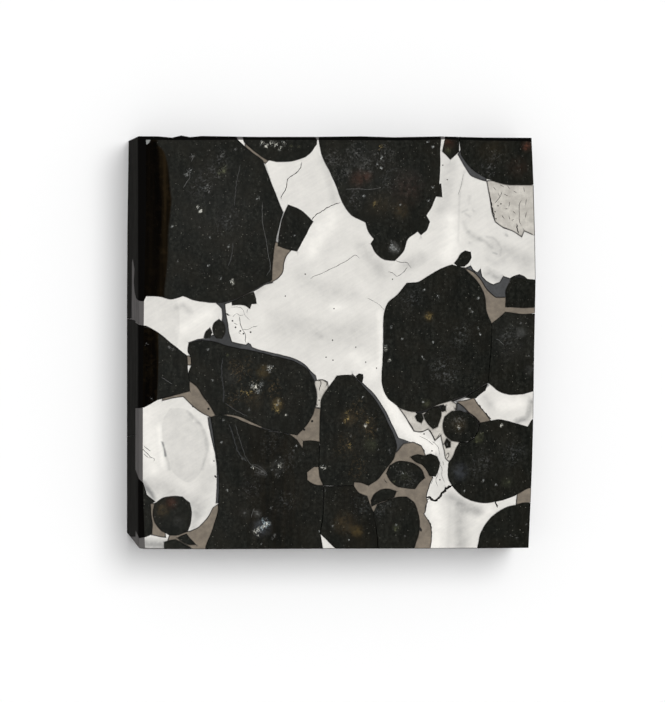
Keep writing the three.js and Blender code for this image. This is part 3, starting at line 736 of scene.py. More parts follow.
    def lip_share(self, points: np.ndarray) -> np.ndarray:
        """Falls from 1 on the grain's inner edges to 0 where the worn lip ends."""
        inner = path_distance(points, self.ripple.face) > HULL_SLACK
        return inner * fade(self.edge_distance(points), self.lip)

    def drop(self, points: np.ndarray) -> np.ndarray:
        """Works out how far each point of the face lies below its level.

        Args:
            points: (n, 2) points in mm.

        Returns:
            The n depths in mm.
        """
        depth = self.lip_drop * self.lip_share(points)
        for middle, half, crack_depth in self.grooves:
            near = close_to(points, middle, half.max())
            share, width = nearest_share(points[near], middle, half)
            depth[near] = np.maximum(depth[near], crack_depth * np.clip(1 - share / width, 0, 1))
        for _, pit in self.pits:
            away = np.linalg.norm(points - np.array(pit.at), axis=1)
            depth = np.maximum(depth, pit.radius * PIT_DEPTH * (away < pit.radius * PIT_FLOOR))
        return depth

    def shade(self, points: np.ndarray) -> np.ndarray:
        """Works out how much the face is darkened at each point."""
        result = np.zeros(len(points))
        for mark in self.marks:
            if isinstance(mark, Smear):
                result += mark.shade * fade(path_distance(points, np.array(mark.path)), mark.width)
            elif isinstance(mark, Cloud):
                ring = mark.ring()
                within = inside(points, ring[:-1], ring[1:])
                result += mark.shade * np.where(within, 1, fade(path_distance(points, ring), mark.edge))
        return result

    def tint(self, points: np.ndarray) -> np.ndarray:
        """Works out the colour that patches add at each point.

        Args:
            points: (n, 2) points in mm.

        Returns:
            (n, 4) colours.
        """
        result = np.zeros((len(points), 4))
        result[:, 3] = 1
        for mark in self.marks:
            if isinstance(mark, Patch):
                away = np.linalg.norm(points - np.array(mark.at), axis=1)
                share = mark.strength * fade(away, mark.radius)
                result[:, :3] += share[:, None] * np.array(mark.tone.value)
        return result

    def spark(self, points: np.ndarray) -> np.ndarray:
        """Works out the painted light that the glints give at each point.

        Args:
            points: (n, 2) points in mm.

        Returns:
            (n, 4) colours.
        """
        result = np.zeros((len(points), 4))
        result[:, 3] = 1
        for mark in self.marks:
            if isinstance(mark, Glint):
                lean = math.radians(mark.lean)
                along = np.array([math.cos(lean), math.sin(lean)])
                across = np.array([-along[1], along[0]])
                offset = (points - np.array(mark.at)) / mark.spread
                away = np.hypot(offset @ along / SPARK_LENGTH, offset @ across / SPARK_WIDTH)
                result[:, :3] += fade(away, 1.0)[:, None] * np.array(mark.tone.value)
        return result

    def kind_of(self, centres: np.ndarray) -> tuple[np.ndarray, list[Tone | None]]:
        """Sorts the face's triangles by what they show.

        Args:
            centres: (n, 2) middles of the triangles, in mm.

        Returns:
            Each triangle's material number, and the tones of the materials from FIRST_FLECK on, where
            None stands for the dark filling of cracks.
        """
        kinds = np.full(len(centres), FACE, np.int32)
        tones: list[Tone | None] = []
        for outline, tone in self.flecks:
            if tone not in tones:
                tones.append(tone)
            ring = np.vstack([outline, outline[:1]])
            near = close_to(centres, ring, 0.0)
            hit = np.zeros(len(centres), bool)
            hit[near] = inside(centres[near], ring[:-1], ring[1:])
            kinds[hit] = FIRST_FLECK + tones.index(tone)
        if self.grooves or self.pits:
            tones.append(None)
        filling = FIRST_FLECK + len(tones) - 1
        for middle, half, _ in self.grooves:
            near = np.flatnonzero(close_to(centres, middle, half.max()))
            share, width = nearest_share(centres[near], middle, half)
            kinds[near[share < width * FILLED_WIDTH]] = filling
        for ring, _ in self.pits:
            kinds[inside(centres, ring, np.roll(ring, -1, 0))] = filling
        return kinds, tones

    def mesh_onto(self, solid: Solid, name: str) -> tuple[bpy.types.Mesh, list[Tone | None]]:
        """Gives a solid its new polished face.

        Args:
            solid: the grain's welded solid.
            name: name of the mesh.

        Returns:
            The mesh in metres, and the tones of its materials from FIRST_FLECK on.
        """
        top = solid.top_triangles(self.height)
        corner_number: dict[int, int] = {}
        for loop in edge_loops(solid.triangles[top]):
            for corner, numbers in zip(loop, self.add_outline(solid.points[loop, :2])):
                corner_number[corner] = numbers[0]
        self.add_inner_points()
        for mark in self.marks:
            self.add_mark(mark)
        places = np.vstack(self.places)
        spots, _, faces, sources, _, _ = geometry.delaunay_2d_cdt(
            [Vector(place) for place in places], self.links, [], 0, WELD, True
        )
        flat = np.array([tuple(spot) for spot in spots])
        cap = np.array([face for face in faces if len(face) == 3])
        cap = cap[inside(flat[cap].mean(1), self.starts, self.ends)]
        first, second, third = flat[cap[:, 0]], flat[cap[:, 1]], flat[cap[:, 2]]
        turned = np.cross(second - first, third - first) < 0
        cap[turned] = cap[turned][:, ::-1]
        made_from = {source: made for made, group in enumerate(sources) for source in group}
        corner_spot = {corner: made_from[number] for corner, number in corner_number.items()}
        walls = self.walls(solid, top, cap, corner_spot, len(flat))
        kinds, tones = self.kind_of(flat[cap].mean(1))
        heights = self.height - self.drop(flat)
        points = np.vstack([np.column_stack([flat, heights]), solid.points]) * MM
        used, faces_out = np.unique(np.vstack([cap, walls]), return_inverse=True)
        mesh = bpy.data.meshes.new(name)
        mesh.from_pydata(points[used].tolist(), [], faces_out.reshape(-1, 3).tolist())
        sides = np.full(len(walls), SIDE, np.int32)
        mesh.polygons.foreach_set("material_index", np.append(kinds, sides))
        on_face = used < len(flat)
        self.write(mesh, flat[used[on_face]], on_face)
        return mesh, tones

    def write(self, mesh: bpy.types.Mesh, flat: np.ndarray, on_face: np.ndarray) -> None:
        """Stores what the finishes read from the face: shade, tint, spark and worn lip."""
        for name, kind, part, values in (
            ("shade", "FLOAT", "value", self.shade(flat)),
            ("tint", "FLOAT_COLOR", "color", self.tint(flat)),
            ("spark", "FLOAT_COLOR", "color", self.spark(flat)),
            ("lip", "FLOAT", "value", self.lip_share(flat)),
        ):
            stored = np.zeros((len(on_face), *values.shape[1:]), np.float32)
            stored[on_face] = values
            mesh.attributes.new(name, kind, "POINT").data.foreach_set(part, stored.ravel())

    def walls(
        self, solid: Solid, top: np.ndarray, cap: np.ndarray, corner_spot: dict[int, int], offset: int
    ) -> np.ndarray:
        """Joins the solid's other faces to the new polished face.

        Args:
            solid: the welded solid.
            top: which of its triangles the new face replaces.
            cap: triangles of the new face.
            corner_spot: number on the new face for each corner of the old one's outline.
            offset: number of the solid's first corner in the joined mesh.

        Returns:
            (n, 3) corner numbers of the walls' triangles.
        """
        directed = directed_edges(cap)
        onward = {start: end for start, end in directed if (end, start) not in directed}
        top_edges = directed_edges(solid.triangles[top])
        result = []
        for triangle in solid.triangles[~top]:
            ring = [int(corner) for corner in triangle]
            for k in range(3):
                end, start, opposite = ring[k], ring[(k + 1) % 3], ring[(k + 2) % 3]
                if (start, end) in top_edges and start in corner_spot and end in corner_spot:
                    line = chain(onward, corner_spot[start], corner_spot[end])[::-1]
                    far = corner_spot.get(opposite, opposite + offset)
                    result += [(a, b, far) for a, b in zip(line, line[1:])]
                    break
            else:
                result.append(tuple(corner_spot.get(corner, corner + offset) for corner in ring))
        return np.array(result, int)


def chain(onward: dict[int, int], start: int, end: int, limit: int = 400) -> list[int]:
    """Follows the outline of a face from one corner to another.

    Args:
        onward: next corner along the outline for each corner.
        start: where to start.
        end: where to stop.
        limit: most corners to pass before the straight edge is taken instead.

    Returns:
        The corners passed, both ends included.
    """
    line = [start]
    while line[-1] != end and line[-1] in onward and len(line) < limit:
        line.append(onward[line[-1]])
    return line if line[-1] == end else [start, end]


def fine_path(path: Path | np.ndarray, step: float) -> np.ndarray:
    """Draws a path as a fine smooth line.

    Args:
        path: its points, in mm.
        step: longest distance between the points made.

    Returns:
        (n, 2) points.
    """
    points = np.array(path, float)
    pieces = []
    for point, stretch in zip(points[:-1], curve_through(points, step)):
        pieces += [point[None], stretch]
    return np.vstack([*pieces, points[-1:]])


def normals_of(line: np.ndarray) -> np.ndarray:
    """Gives the unit normals to the left of a line's points."""
    along = np.gradient(line, axis=0)
    along /= np.maximum(np.linalg.norm(along, axis=1, keepdims=True), TINY_LENGTH)
    return np.stack([-along[:, 1], along[:, 0]], 1)


def sideways(line: np.ndarray, distance: float | np.ndarray) -> np.ndarray:
    """Moves a line to its left by a distance."""
    return line + normals_of(line) * np.reshape(distance, (-1, 1))


def wavering(line: np.ndarray, amount: float) -> np.ndarray:
    """Makes a line waver a little, as cracks do."""
    return sideways(line, amount * CRACK_WAVER.along(line))


def crack_half_width(line: np.ndarray, width: float) -> np.ndarray:
    """Gives half the width along a crack: uneven, and thin at both ends."""
    share = np.linspace(0, 1, len(line))
    ends = np.clip(np.minimum(share, 1 - share) * TAPER + BLUNT_END, 0, 1)
    return width / 2 * ends * (CRACK_WIDTH + CRACK_STRAY * CRACK_WIDENING.along(line))


def close_to(points: np.ndarray, line: np.ndarray, margin: float) -> np.ndarray:
    """Tells which points lie in the box around a line."""
    low, high = line.min(0) - margin, line.max(0) + margin
    return ((points >= low) & (points <= high)).all(1)


def nearest_share(points: np.ndarray, line: np.ndarray, half: np.ndarray) -> tuple[np.ndarray, np.ndarray]:
    """Measures points against a crack.

    Args:
        points: (n, 2) points in mm.
        line: (m, 2) points of the crack's middle.
        half: half its width at each of those.

    Returns:
        The n distances to the middle, and the half widths there.
    """
    if not len(points):
        return np.zeros(0), np.ones(0)
    squares, share = against_segments(points, line[:-1], line[1:])
    gap = np.sqrt(squares)
    best = gap.argmin(1)
    rows = np.arange(len(points))
    at = share[rows, best]
    return gap[rows, best], half[best] * (1 - at) + half[best + 1] * at


def oval(at: Point, radius: float, stretch: float, lean: float, sides: int = 8) -> np.ndarray:
    """Draws a small oval.

    Args:
        at: its middle.
        radius: its smaller radius.
        stretch: its larger radius over the smaller.
        lean: direction of its length, in degrees.
        sides: number of corners.

    Returns:
        (sides, 2) corners, counter-clockwise.
    """
    turn = np.arange(sides) * 2 * math.pi / sides
    x, y = radius * stretch * np.cos(turn), radius * np.sin(turn)
    cos, sin = math.cos(math.radians(lean)), math.sin(math.radians(lean))
    return np.stack([at[0] + x * cos - y * sin, at[1] + x * sin + y * cos], 1)


def local_points(at: Point, radius: float) -> np.ndarray:
    """Gives a close set of points around a place, fit to carry a soft spot."""
    step = max(radius / SPOT_RINGS, RING_STEP)
    rings = [
        oval(at, ring * step, 1.0, RING_TURN * ring, sides=max(5, round(RING_CORNERS * ring)))
        for ring in range(1, math.ceil(radius / step) + 1)
    ]
    return np.vstack([np.array([at], float), *rings])


def glint_shards(glint: Glint) -> list[tuple[np.ndarray, Tone]]:
    """Scatters the small cleavage faces of a glint, painted as bright flecks.

    Args:
        glint: the glint.

    Returns:
        The outline in mm and the tone of each face: a few bright slivers, and dimmer ones around them.
    """
    draw = random.Random(f"{glint.at[0]:.2f} {glint.at[1]:.2f}")
    shards = []
    for number in range(glint.count):
        bright = number < glint.count / 2
        away = glint.spread * draw.random() ** SHARD_GATHER * (BRIGHT_REACH if bright else DIM_REACH)
        turn = draw.uniform(0, 2 * math.pi)
        x, y = glint.at[0] + away * math.cos(turn), glint.at[1] + away * math.sin(turn)
        size = draw.uniform(*SHARD_SIZES) * (FIRST_SHARD if number == 0 else 1)
        stretch = draw.uniform(*SHARD_STRETCH)
        lean = glint.lean + draw.gauss(0, SHARD_STRAY)
        shard = oval((x, y), size, stretch, lean, SHARD_CORNERS)
        jolt = np.array([[draw.uniform(-1, 1), draw.uniform(-1, 1)] for _ in shard]) * size * SHARD_JOLT
        shards.append((shard + jolt, glint.tone if bright else glint.tone.dimmer()))
    return shards


class Graph:
    """Short way to lay out shader nodes in one tree."""

    def __init__(self, tree: bpy.types.NodeTree) -> None:
        """Starts with an empty tree."""
        self.tree = tree
        tree.nodes.clear()

    def node(
        self, kind: str, values: dict[str | int, object] | None = None, **settings: object
    ) -> bpy.types.Node:
        """Adds a node.

        Args:
            kind: its type, without the leading ShaderNode.
            values: for its inputs, each a constant or a socket to link.
            settings: its own properties.

        Returns:
            The node.
        """
        made = self.tree.nodes.new(f"ShaderNode{kind}")
        for key, value in settings.items():
            setattr(made, key, value)
        for key, value in (values or {}).items():
            self.feed(made.inputs[key], value)
        return made

    def feed(self, socket: Socket, value: object) -> None:
        """Links a socket, or sets its constant."""
        if isinstance(value, Socket):
            self.tree.links.new(value, socket)
        elif isinstance(value, tuple) and len(value) == 3 and socket.type == "RGBA":
            socket.default_value = (*value, 1)
        else:
            socket.default_value = value

    def math(self, operation: str, first: object, second: object = 0.0, third: object = 0.0) -> Socket:
        """Adds one step of arithmetic."""
        return self.node("Math", {0: first, 1: second, 2: third}, operation=operation).outputs[0]

    def blend(self, share: object, first: object, second: object, how: str = "MIX") -> Socket:
        """Blends two colours by a share."""
        values = {0: share, 6: first, 7: second}
        made = self.node("Mix", values, data_type="RGBA", blend_type=how, clamp_factor=True)
        return made.outputs[2]

    def spread(
        self, value: object, low: object, high: object, to_low: object = 0.0, to_high: object = 1.0
    ) -> Socket:
        """Maps a range of values to another, held at both ends."""
        return self.node(
            "MapRange",
            {"Value": value, "From Min": low, "From Max": high, "To Min": to_low, "To Max": to_high},
            clamp=True,
        ).outputs[0]

    def place(self) -> Socket:
        """Gives the place on the object, in metres."""
        return self.node("TexCoord").outputs["Object"]


@dataclass(frozen=True)
class Effect:
    """Mask that several finishes share, kept as one node group.

    Attributes:
        name: name of the group.
        inputs: names and first values of its inputs.
    """

    name: str
    inputs: tuple[tuple[str, float], ...]

    def group(self) -> bpy.types.NodeTree:
        """Gives the node group, made on first use."""
        found = bpy.data.node_groups.get(self.name)
        if found:
            return found
        tree = bpy.data.node_groups.new(self.name, "ShaderNodeTree")
        for name, value in self.inputs:
            socket = tree.interface.new_socket(name, in_out="INPUT", socket_type="NodeSocketFloat")
            socket.default_value = value
        tree.interface.new_socket("Mask", in_out="OUTPUT", socket_type="NodeSocketFloat")
        graph = Graph(tree)
        entry, leave = tree.nodes.new("NodeGroupInput"), tree.nodes.new("NodeGroupOutput")
        graph.feed(leave.inputs["Mask"], self.lay_out(graph, entry))
        return tree

    def lay_out(self, graph: Graph, entry: bpy.types.Node) -> Socket:
        """Lays out the group's nodes after its input node, and gives what the mask gets."""
        raise NotImplementedError

    def use(self, graph: Graph, values: dict[str, float]) -> Socket:
        """Places the effect in a material with values for its inputs, and gives its mask."""
        return graph.node("Group", values, node_tree=self.group()).outputs["Mask"]


class Height(Effect):
    """Nought below one height of the slab and one above another, both in mm."""

    def lay_out(self, graph: Graph, entry: bpy.types.Node) -> Socket:
        """Reads the height of the place."""
        height = graph.node("SeparateXYZ", {0: graph.place()}).outputs["Z"]
        in_mm = graph.math("MULTIPLY", height, 1 / MM)
        return graph.spread(in_mm, entry.outputs["Low"], entry.outputs["High"])


class Mottle(Effect):
    """Soft blotches of a given size."""

    def lay_out(self, graph: Graph, entry: bpy.types.Node) -> Socket:
        """Takes noise at the scale and cuts it between two levels."""
        cloud = graph.node(
            "TexNoise",
            {"Vector": graph.place(), "Scale": entry.outputs["Scale"], "Detail": 4.0, "Roughness": 0.6},
        ).outputs[0]
        return graph.spread(cloud, entry.outputs["Low"], entry.outputs["High"])


class Wisps(Effect):
    """Fine wispy light and dark, as of broken cleavage faces."""

    def lay_out(self, graph: Graph, entry: bpy.types.Node) -> Socket:
        """Takes strongly distorted noise and keeps its crests."""
        values = {"Vector": graph.place(), "Scale": entry.outputs["Scale"], "Detail": 3.0, "Distortion": 0.5}
        crests = graph.spread(graph.node("TexNoise", values).outputs[0], 0.47, 0.66)
        return graph.math("POWER", crests, 1.5)


class Specks(Effect):
    """Small scattered specks of uneven brightness."""

    def lay_out(self, graph: Graph, entry: bpy.types.Node) -> Socket:
        """Takes the middles of random cells, and drops most of them."""
        cells = graph.node("TexVoronoi", {"Vector": graph.place(), "Scale": entry.outputs["Scale"]})
        near = graph.spread(cells.outputs["Distance"], entry.outputs["Size"], 0.02)
        chance = graph.node("SeparateXYZ", {0: cells.outputs["Color"]}).outputs["X"]
        kept = graph.spread(chance, entry.outputs["Share"], 1.0)
        return graph.math("MULTIPLY", near, kept)


class Streaks(Effect):
    """Fine parallel streaks, drawn out along one direction of the slab."""

    def lay_out(self, graph: Graph, entry: bpy.types.Node) -> Socket:
        """Turns the place about Z, and takes noise with each axis stretched by its own scale."""
        turn = {"Vector": graph.place(), "Angle": entry.outputs["Turn"]}
        turned = graph.node("VectorRotate", turn, rotation_type="Z_AXIS").outputs[0]
        scale = graph.node("CombineXYZ", {axis: entry.outputs[axis] for axis in ("X", "Y", "Z")}).outputs[0]
        place = graph.node("VectorMath", {0: turned, 1: scale}, operation="MULTIPLY").outputs[0]
        noise_values = {"Vector": place, "Scale": 1.0, "Detail": 3.0, "Roughness": 0.55}
        lines = graph.node("TexNoise", noise_values).outputs[0]
        return graph.spread(lines, 0.3, 0.7)


HEIGHT = Height("height", (("Low", 7.5), ("High", 8.5)))
MOTTLE = Mottle("mottle", (("Scale", 1000.0), ("Low", 0.4), ("High", 0.6)))
WISPS = Wisps("wisps", (("Scale", 3000.0),))
SPECKS = Specks("specks", (("Scale", 2000.0), ("Size", 0.2), ("Share", 0.8)))
STREAKS = Streaks("streaks", (("X", 1000.0), ("Y", 1000.0), ("Z", 1000.0), ("Turn", 0.0)))


def mottled(graph: Graph, scale: float, low: float, high: float) -> Socket:
    """Places soft blotches of a scale per metre, cut between two levels."""
    return MOTTLE.use(graph, {"Scale": scale, "Low": low, "High": high})


@dataclass(frozen=True)
class Finish:
    """Finish of one kind of surface.

    Attributes:
        name: name of the material.
    """

    name: str

    def material(self) -> bpy.types.Material:
        """Gives the material, made on first use."""
        found = bpy.data.materials.get(self.name)
        if found:
            return found
        made = bpy.data.materials.new(self.name)
        made.use_nodes = True
        graph = Graph(made.node_tree)
        shader = graph.node("BsdfPrincipled")
        out = graph.node("OutputMaterial", {"Surface": shader.outputs["BSDF"]})
        out.is_active_output = True
        for key, value in self.lay_out(graph).items():
            graph.feed(shader.inputs[key], value)
        return made

    def lay_out(self, graph: Graph) -> dict[str, object]:
        """Gives a constant or a socket for each of the shader's inputs."""
        raise NotImplementedError


def read(graph: Graph, name: str, output: str = "Fac") -> Socket:
    """Reads what a polished face stores at its points."""
    return graph.node("Attribute", attribute_name=name).outputs[output]


def bumped(graph: Graph, height: Socket, strength: float, distance: float) -> Socket:
    """Turns a height from 0 to 1 into a bumped normal, where 1 is a distance in mm."""
    return graph.node("Bump", {"Height": height, "Strength": strength, "Distance": distance * MM}).outputs[0]


@dataclass(frozen=True)
class SawnSide(Finish):
    """Sawn side of one mineral: dull, with fine saw marks, and darker close under the polished face.

    Attributes:
        colour: colour of the side.
        marks: colour of the saw marks.
        edge: colour close under the face.
    """

    colour: Colour = (0.033, 0.032, 0.03)
    marks: Colour = (0.014, 0.0137, 0.013)
    edge: Colour = (0.0035, 0.0032, 0.003)

    def lay_out(self, graph: Graph) -> dict[str, object]:
        """Draws the saw marks along the side and darkens its upper edge."""
        streaks = STREAKS.use(graph, {"X": 900.0, "Y": 110.0, "Z": 2600.0})
        blotches = mottled(graph, 700.0, 0.35, 0.65)
        colour = graph.blend(graph.math("MULTIPLY", streaks, 0.7), self.colour, self.marks)
        colour = graph.blend(graph.math("MULTIPLY", blotches, 0.35), colour, self.marks)
        near_face = HEIGHT.use(graph, {"Low": 7.2, "High": 8.4})
        return {
            "Base Color": graph.blend(near_face, colour, self.edge),
            "Roughness": 0.7,
            "Specular IOR Level": 0.0,
            "Normal": bumped(graph, streaks, 0.3, 0.02),
        }


@dataclass(frozen=True)
class NickelIron(Finish):
    """Lapped nickel-iron: bright and softly clouded, with painted reflection and shade.

    Attributes:
        bright: colour of clean metal.
        dulled_and_shaded: colour where the metal is dulled, and where reflection and shade are painted on
            it.
        black: colour where it is stained black.
        roughness: roughness of the lapped face.
    """

    bright: Colour = (0.975, 0.95, 0.895)
    dulled_and_shaded: Colour = (0.3, 0.298, 0.29)
    black: Colour = (0.012, 0.011, 0.01)
    roughness: float = 0.36

    def lay_out(self, graph: Graph) -> dict[str, object]:
        """Dulls the metal by its stored shade, broad clouds and fine grain; the stored shade holds painted
        reflection and painted shade as well as dull patches.
        """
        broad = mottled(graph, 170.0, 0.3, 0.7)
        middle = mottled(graph, 620.0, 0.35, 0.7)
        grain = mottled(graph, 4200.0, 0.25, 0.75)
        clouds = graph.math("MULTIPLY_ADD", broad, 0.1, graph.math("MULTIPLY_ADD", middle, 0.09, 0.115))
        patchy = mottled(graph, 1100.0, 0.3, 0.7)
        uneven = graph.spread(patchy, 0.0, 1.0, 0.9, 1.9)
        shade = read(graph, "shade")
        lines = STREAKS.use(graph, {"X": 330.0, "Y": 3300.0, "Turn": -0.55})
        fine = graph.math("MULTIPLY_ADD", lines, 0.07, graph.math("MULTIPLY", grain, 0.05))
        stored = graph.math("MULTIPLY_ADD", shade, uneven, fine)
        lip = graph.math("MULTIPLY_ADD", read(graph, "lip"), 0.35, clouds)
        total = graph.math("ADD", stored, lip)
        rough = graph.spread(grain, 0.0, 1.0, self.roughness - 0.03, self.roughness + 0.04)
        metal = graph.blend(total, self.bright, self.dulled_and_shaded)
        return {
            "Base Color": graph.blend(graph.spread(shade, 1.0, 1.8), metal, self.black),
            "Metallic": 1.0,
            "Roughness": rough,
            "Normal": bumped(graph, grain, 0.12, 0.01),
        }


@dataclass(frozen=True)
class OlivineGlass(Finish):
    """Polished olivine: nearly black glass with depth, specks and brown clouds.

    Attributes:
        dark: colour of the clear crystal.
        pale: colour of its hazy parts.
        brown: colour of its warm parts.
        speck: colour of its fine inclusions.
        clear: colour painted where nothing is mirrored in it, a painted dark reflection.
        honey: colour of the streaks seen there.
    """

    dark: Colour = (0.0075, 0.0081, 0.0068)
    pale: Colour = (0.0275, 0.0285, 0.0238)
    brown: Colour = (0.022, 0.0188, 0.0135)
    speck: Colour = (0.16, 0.155, 0.13)
    clear: Colour = (0.0012, 0.001, 0.0008)
    honey: Colour = (0.0155, 0.0103, 0.0048)

    def lay_out(self, graph: Graph) -> dict[str, object]:
        """Puts clouds, specks and stored tints and sparks under a polished coat, and paints the stored dark
        zones nearly black under a thinner coat.
        """
        clear = read(graph, "shade")
        inner = graph.blend(1.0, self.body(graph), self.lights(graph), "ADD")
        return {
            "Base Color": graph.blend(graph.spread(clear, 0.0, 0.8), inner, self.dark_reflection_colour(graph, clear)),
            "Roughness": 0.6,
            "Specular IOR Level": 0.0,
            "Coat Weight": graph.spread(clear, 0.0, 0.8, 1.0, 0.08),
            "Coat Roughness": 0.05,
            "Coat IOR": 1.66,
        }

    def body(self, graph: Graph) -> Socket:
        """Colours the crystal's body: fine haze, faint warm clouds and light specks."""
        haze = mottled(graph, 3000.0, 0.38, 0.68)
        fibres = STREAKS.use(graph, {"X": 2400.0, "Y": 620.0, "Z": 2400.0})
        broad = mottled(graph, 330.0, 0.4, 0.65)
        body = graph.blend(graph.math("MULTIPLY", haze, fibres), self.dark, self.pale)
        body = graph.blend(graph.math("MULTIPLY", broad, 0.3), body, self.brown)
        fine = SPECKS.use(graph, {"Scale": 3800.0, "Size": 0.24, "Share": 0.74})
        large = SPECKS.use(graph, {"Scale": 1500.0, "Size": 0.12, "Share": 0.72})
        specks = graph.math("MAXIMUM", fine, large)
        return graph.blend(specks, body, self.speck)

    def lights(self, graph: Graph) -> Socket:
        """Breaks up the stored clouds of colour and the stored sparks, which are painted glints."""
        blotches = mottled(graph, 2300.0, 0.32, 0.66)
        soft = graph.spread(blotches, 0.0, 1.0, 0.2, 1.2)
        broken = mottled(graph, 1300.0, 0.42, 0.62)
        power = graph.spread(broken, 0.0, 1.0, 0.5, 2.0)
        wispy = graph.math("MULTIPLY", WISPS.use(graph, {"Scale": 4600.0}), power)
        tint = graph.blend(1.0, read(graph, "tint", "Color"), soft, "MULTIPLY")
        spark = graph.blend(1.0, read(graph, "spark", "Color"), wispy, "MULTIPLY")
        return graph.blend(1.0, tint, spark, "ADD")

    def dark_reflection_colour(self, graph: Graph, clear: Socket) -> Socket:
        """Paints the zone in which nothing is mirrored as a dark reflection: black, with honey streaks along
        it.
        """
        streaks = graph.math("POWER", STREAKS.use(graph, {"X": 1300.0, "Y": 60.0, "Z": 900.0}), 1.8)
        wispy = WISPS.use(graph, {"Scale": 1500.0})
        deep = graph.spread(clear, 0.8, 1.0, 1.0, 0.25)
        share = graph.math("MULTIPLY", graph.math("MULTIPLY_ADD", wispy, 0.4, streaks), deep)
        return graph.blend(share, self.clear, self.honey)


@dataclass(frozen=True)
class LappedMineral(Finish):
    """Dull lapped ore mineral, such as troilite or schreibersite.

    Attributes:
        base: its colour.
        deep: its darker colour.
        metallic: how metallic it looks.
        roughness: roughness of its lapped face.
        blotch: scale of its blotches, per metre.
    """

    base: Colour = (0.235, 0.196, 0.15)
    deep: Colour = (0.13, 0.108, 0.083)
    metallic: float = 0.25
    roughness: float = 0.45
    blotch: float = 1400.0

    def lay_out(self, graph: Graph) -> dict[str, object]:
        """Blotches the colour, and darkens it at the lip and where it is stained."""
        blotches = mottled(graph, self.blotch, 0.36, 0.64)
        grain = mottled(graph, 6000.0, 0.35, 0.65)
        colour = graph.blend(graph.math("MULTIPLY", blotches, 0.75), self.base, self.deep)
        colour = graph.blend(graph.math("MULTIPLY", grain, 0.35), colour, self.deep)
        edge = graph.math("MULTIPLY_ADD", read(graph, "lip"), 0.85, read(graph, "shade"))
        return {
            "Base Color": graph.blend(edge, colour, tuple(0.12 * part for part in self.deep)),
            "Metallic": self.metallic,
            "Roughness": self.roughness,
            "Normal": bumped(graph, grain, 0.1, 0.008),
        }


@dataclass(frozen=True)
class CrackFilling(Finish):
    """Dark oxide in the bottom of cracks and pits.

    Attributes:
        colour: its colour.
    """

    colour: Colour = (0.024, 0.022, 0.02)

    def lay_out(self, graph: Graph) -> dict[str, object]:
        """Varies the filling from black to grey along the crack."""
        uneven = mottled(graph, 2200.0, 0.35, 0.65)
        return {
            "Base Color": graph.blend(uneven, tuple(0.3 * part for part in self.colour), self.colour),
            "Roughness": 0.8,
            "Specular IOR Level": 0.2,
        }


@dataclass(frozen=True)
class Fleck(Finish):
    """Inner face or inclusion of one tone, seen through the polish; a glint's faces are painted glints in
    it.

    Attributes:
        tone: its tone.
    """

    tone: Tone = Tone.SILVER

    def lay_out(self, graph: Graph) -> dict[str, object]:
        """Breaks the tone up a little."""
        uneven = mottled(graph, 6000.0, 0.3, 0.7)
        dim = tuple(0.45 * part for part in self.tone.value)
        return {
            "Base Color": graph.blend(uneven, dim, self.tone.value),
            "Roughness": 0.35,
            "Specular IOR Level": 0.2,
        }


@dataclass(frozen=True)
class PaperFloor(Finish):
    """Matt white paper under the slice.

    Attributes:
        colour: its colour.
    """

    colour: Colour = (0.945, 0.945, 0.945)

    def lay_out(self, graph: Graph) -> dict[str, object]:
        """Varies the white by a hair."""
        uneven = mottled(graph, 14.0, 0.2, 0.8)
        return {
            "Base Color": graph.blend(uneven, self.colour, tuple(0.995 * part for part in self.colour)),
            "Roughness": 0.95,
            "Specular IOR Level": 0.0,
        }


NICKEL_IRON = NickelIron("lapped_nickel_iron")
OLIVINE = OlivineGlass("polished_olivine")
TROILITE = LappedMineral("lapped_troilite")
GREY_SCHREIBERSITE = LappedMineral(
    "lapped_grey_schreibersite", base=(0.062, 0.064, 0.066), deep=(0.034, 0.035, 0.036), blotch=2600.0
)
PALE_SCHREIBERSITE = LappedMineral(
    "lapped_pale_schreibersite",
    base=(0.68, 0.65, 0.59),
    deep=(0.42, 0.395, 0.355),
    metallic=0.4,
    blotch=1100.0,
)
CRACK_FILLING = CrackFilling("crack_filling")
SAWN_OLIVINE = SawnSide("sawn_olivine")
SAWN_METAL = SawnSide(
    "sawn_metal", colour=(0.17, 0.162, 0.158), marks=(0.09, 0.086, 0.085), edge=(0.12, 0.114, 0.112)
)
SAWN_ORE = SawnSide(
    "sawn_ore", colour=(0.09, 0.08, 0.068), marks=(0.05, 0.044, 0.038), edge=(0.06, 0.053, 0.045)
)


def cracks(*paths: Path, width: float = 0.06, depth: float = 0.05) -> tuple[Crack, ...]:
    """Gives one crack for each path."""
    return tuple(Crack(path, width, depth) for path in paths)


def pits(*places: Point, radius: float = 0.07) -> tuple[Pit, ...]:
    """Gives one pit at each place."""
    return tuple(Pit(place, radius) for place in places)


def threads(tone: Tone, width: float, *paths: Path) -> tuple[Thread, ...]:
    """Gives one thread of the same tone and width for each path."""
    return tuple(Thread(path, tone, width) for path in paths)


def glints(tone: Tone, spread: float, count: int, lean: float, *places: Point) -> tuple[Glint, ...]:
    """Gives one cluster of the same kind at each place."""
    return tuple(Glint(place, tone, spread, count, lean) for place in places)


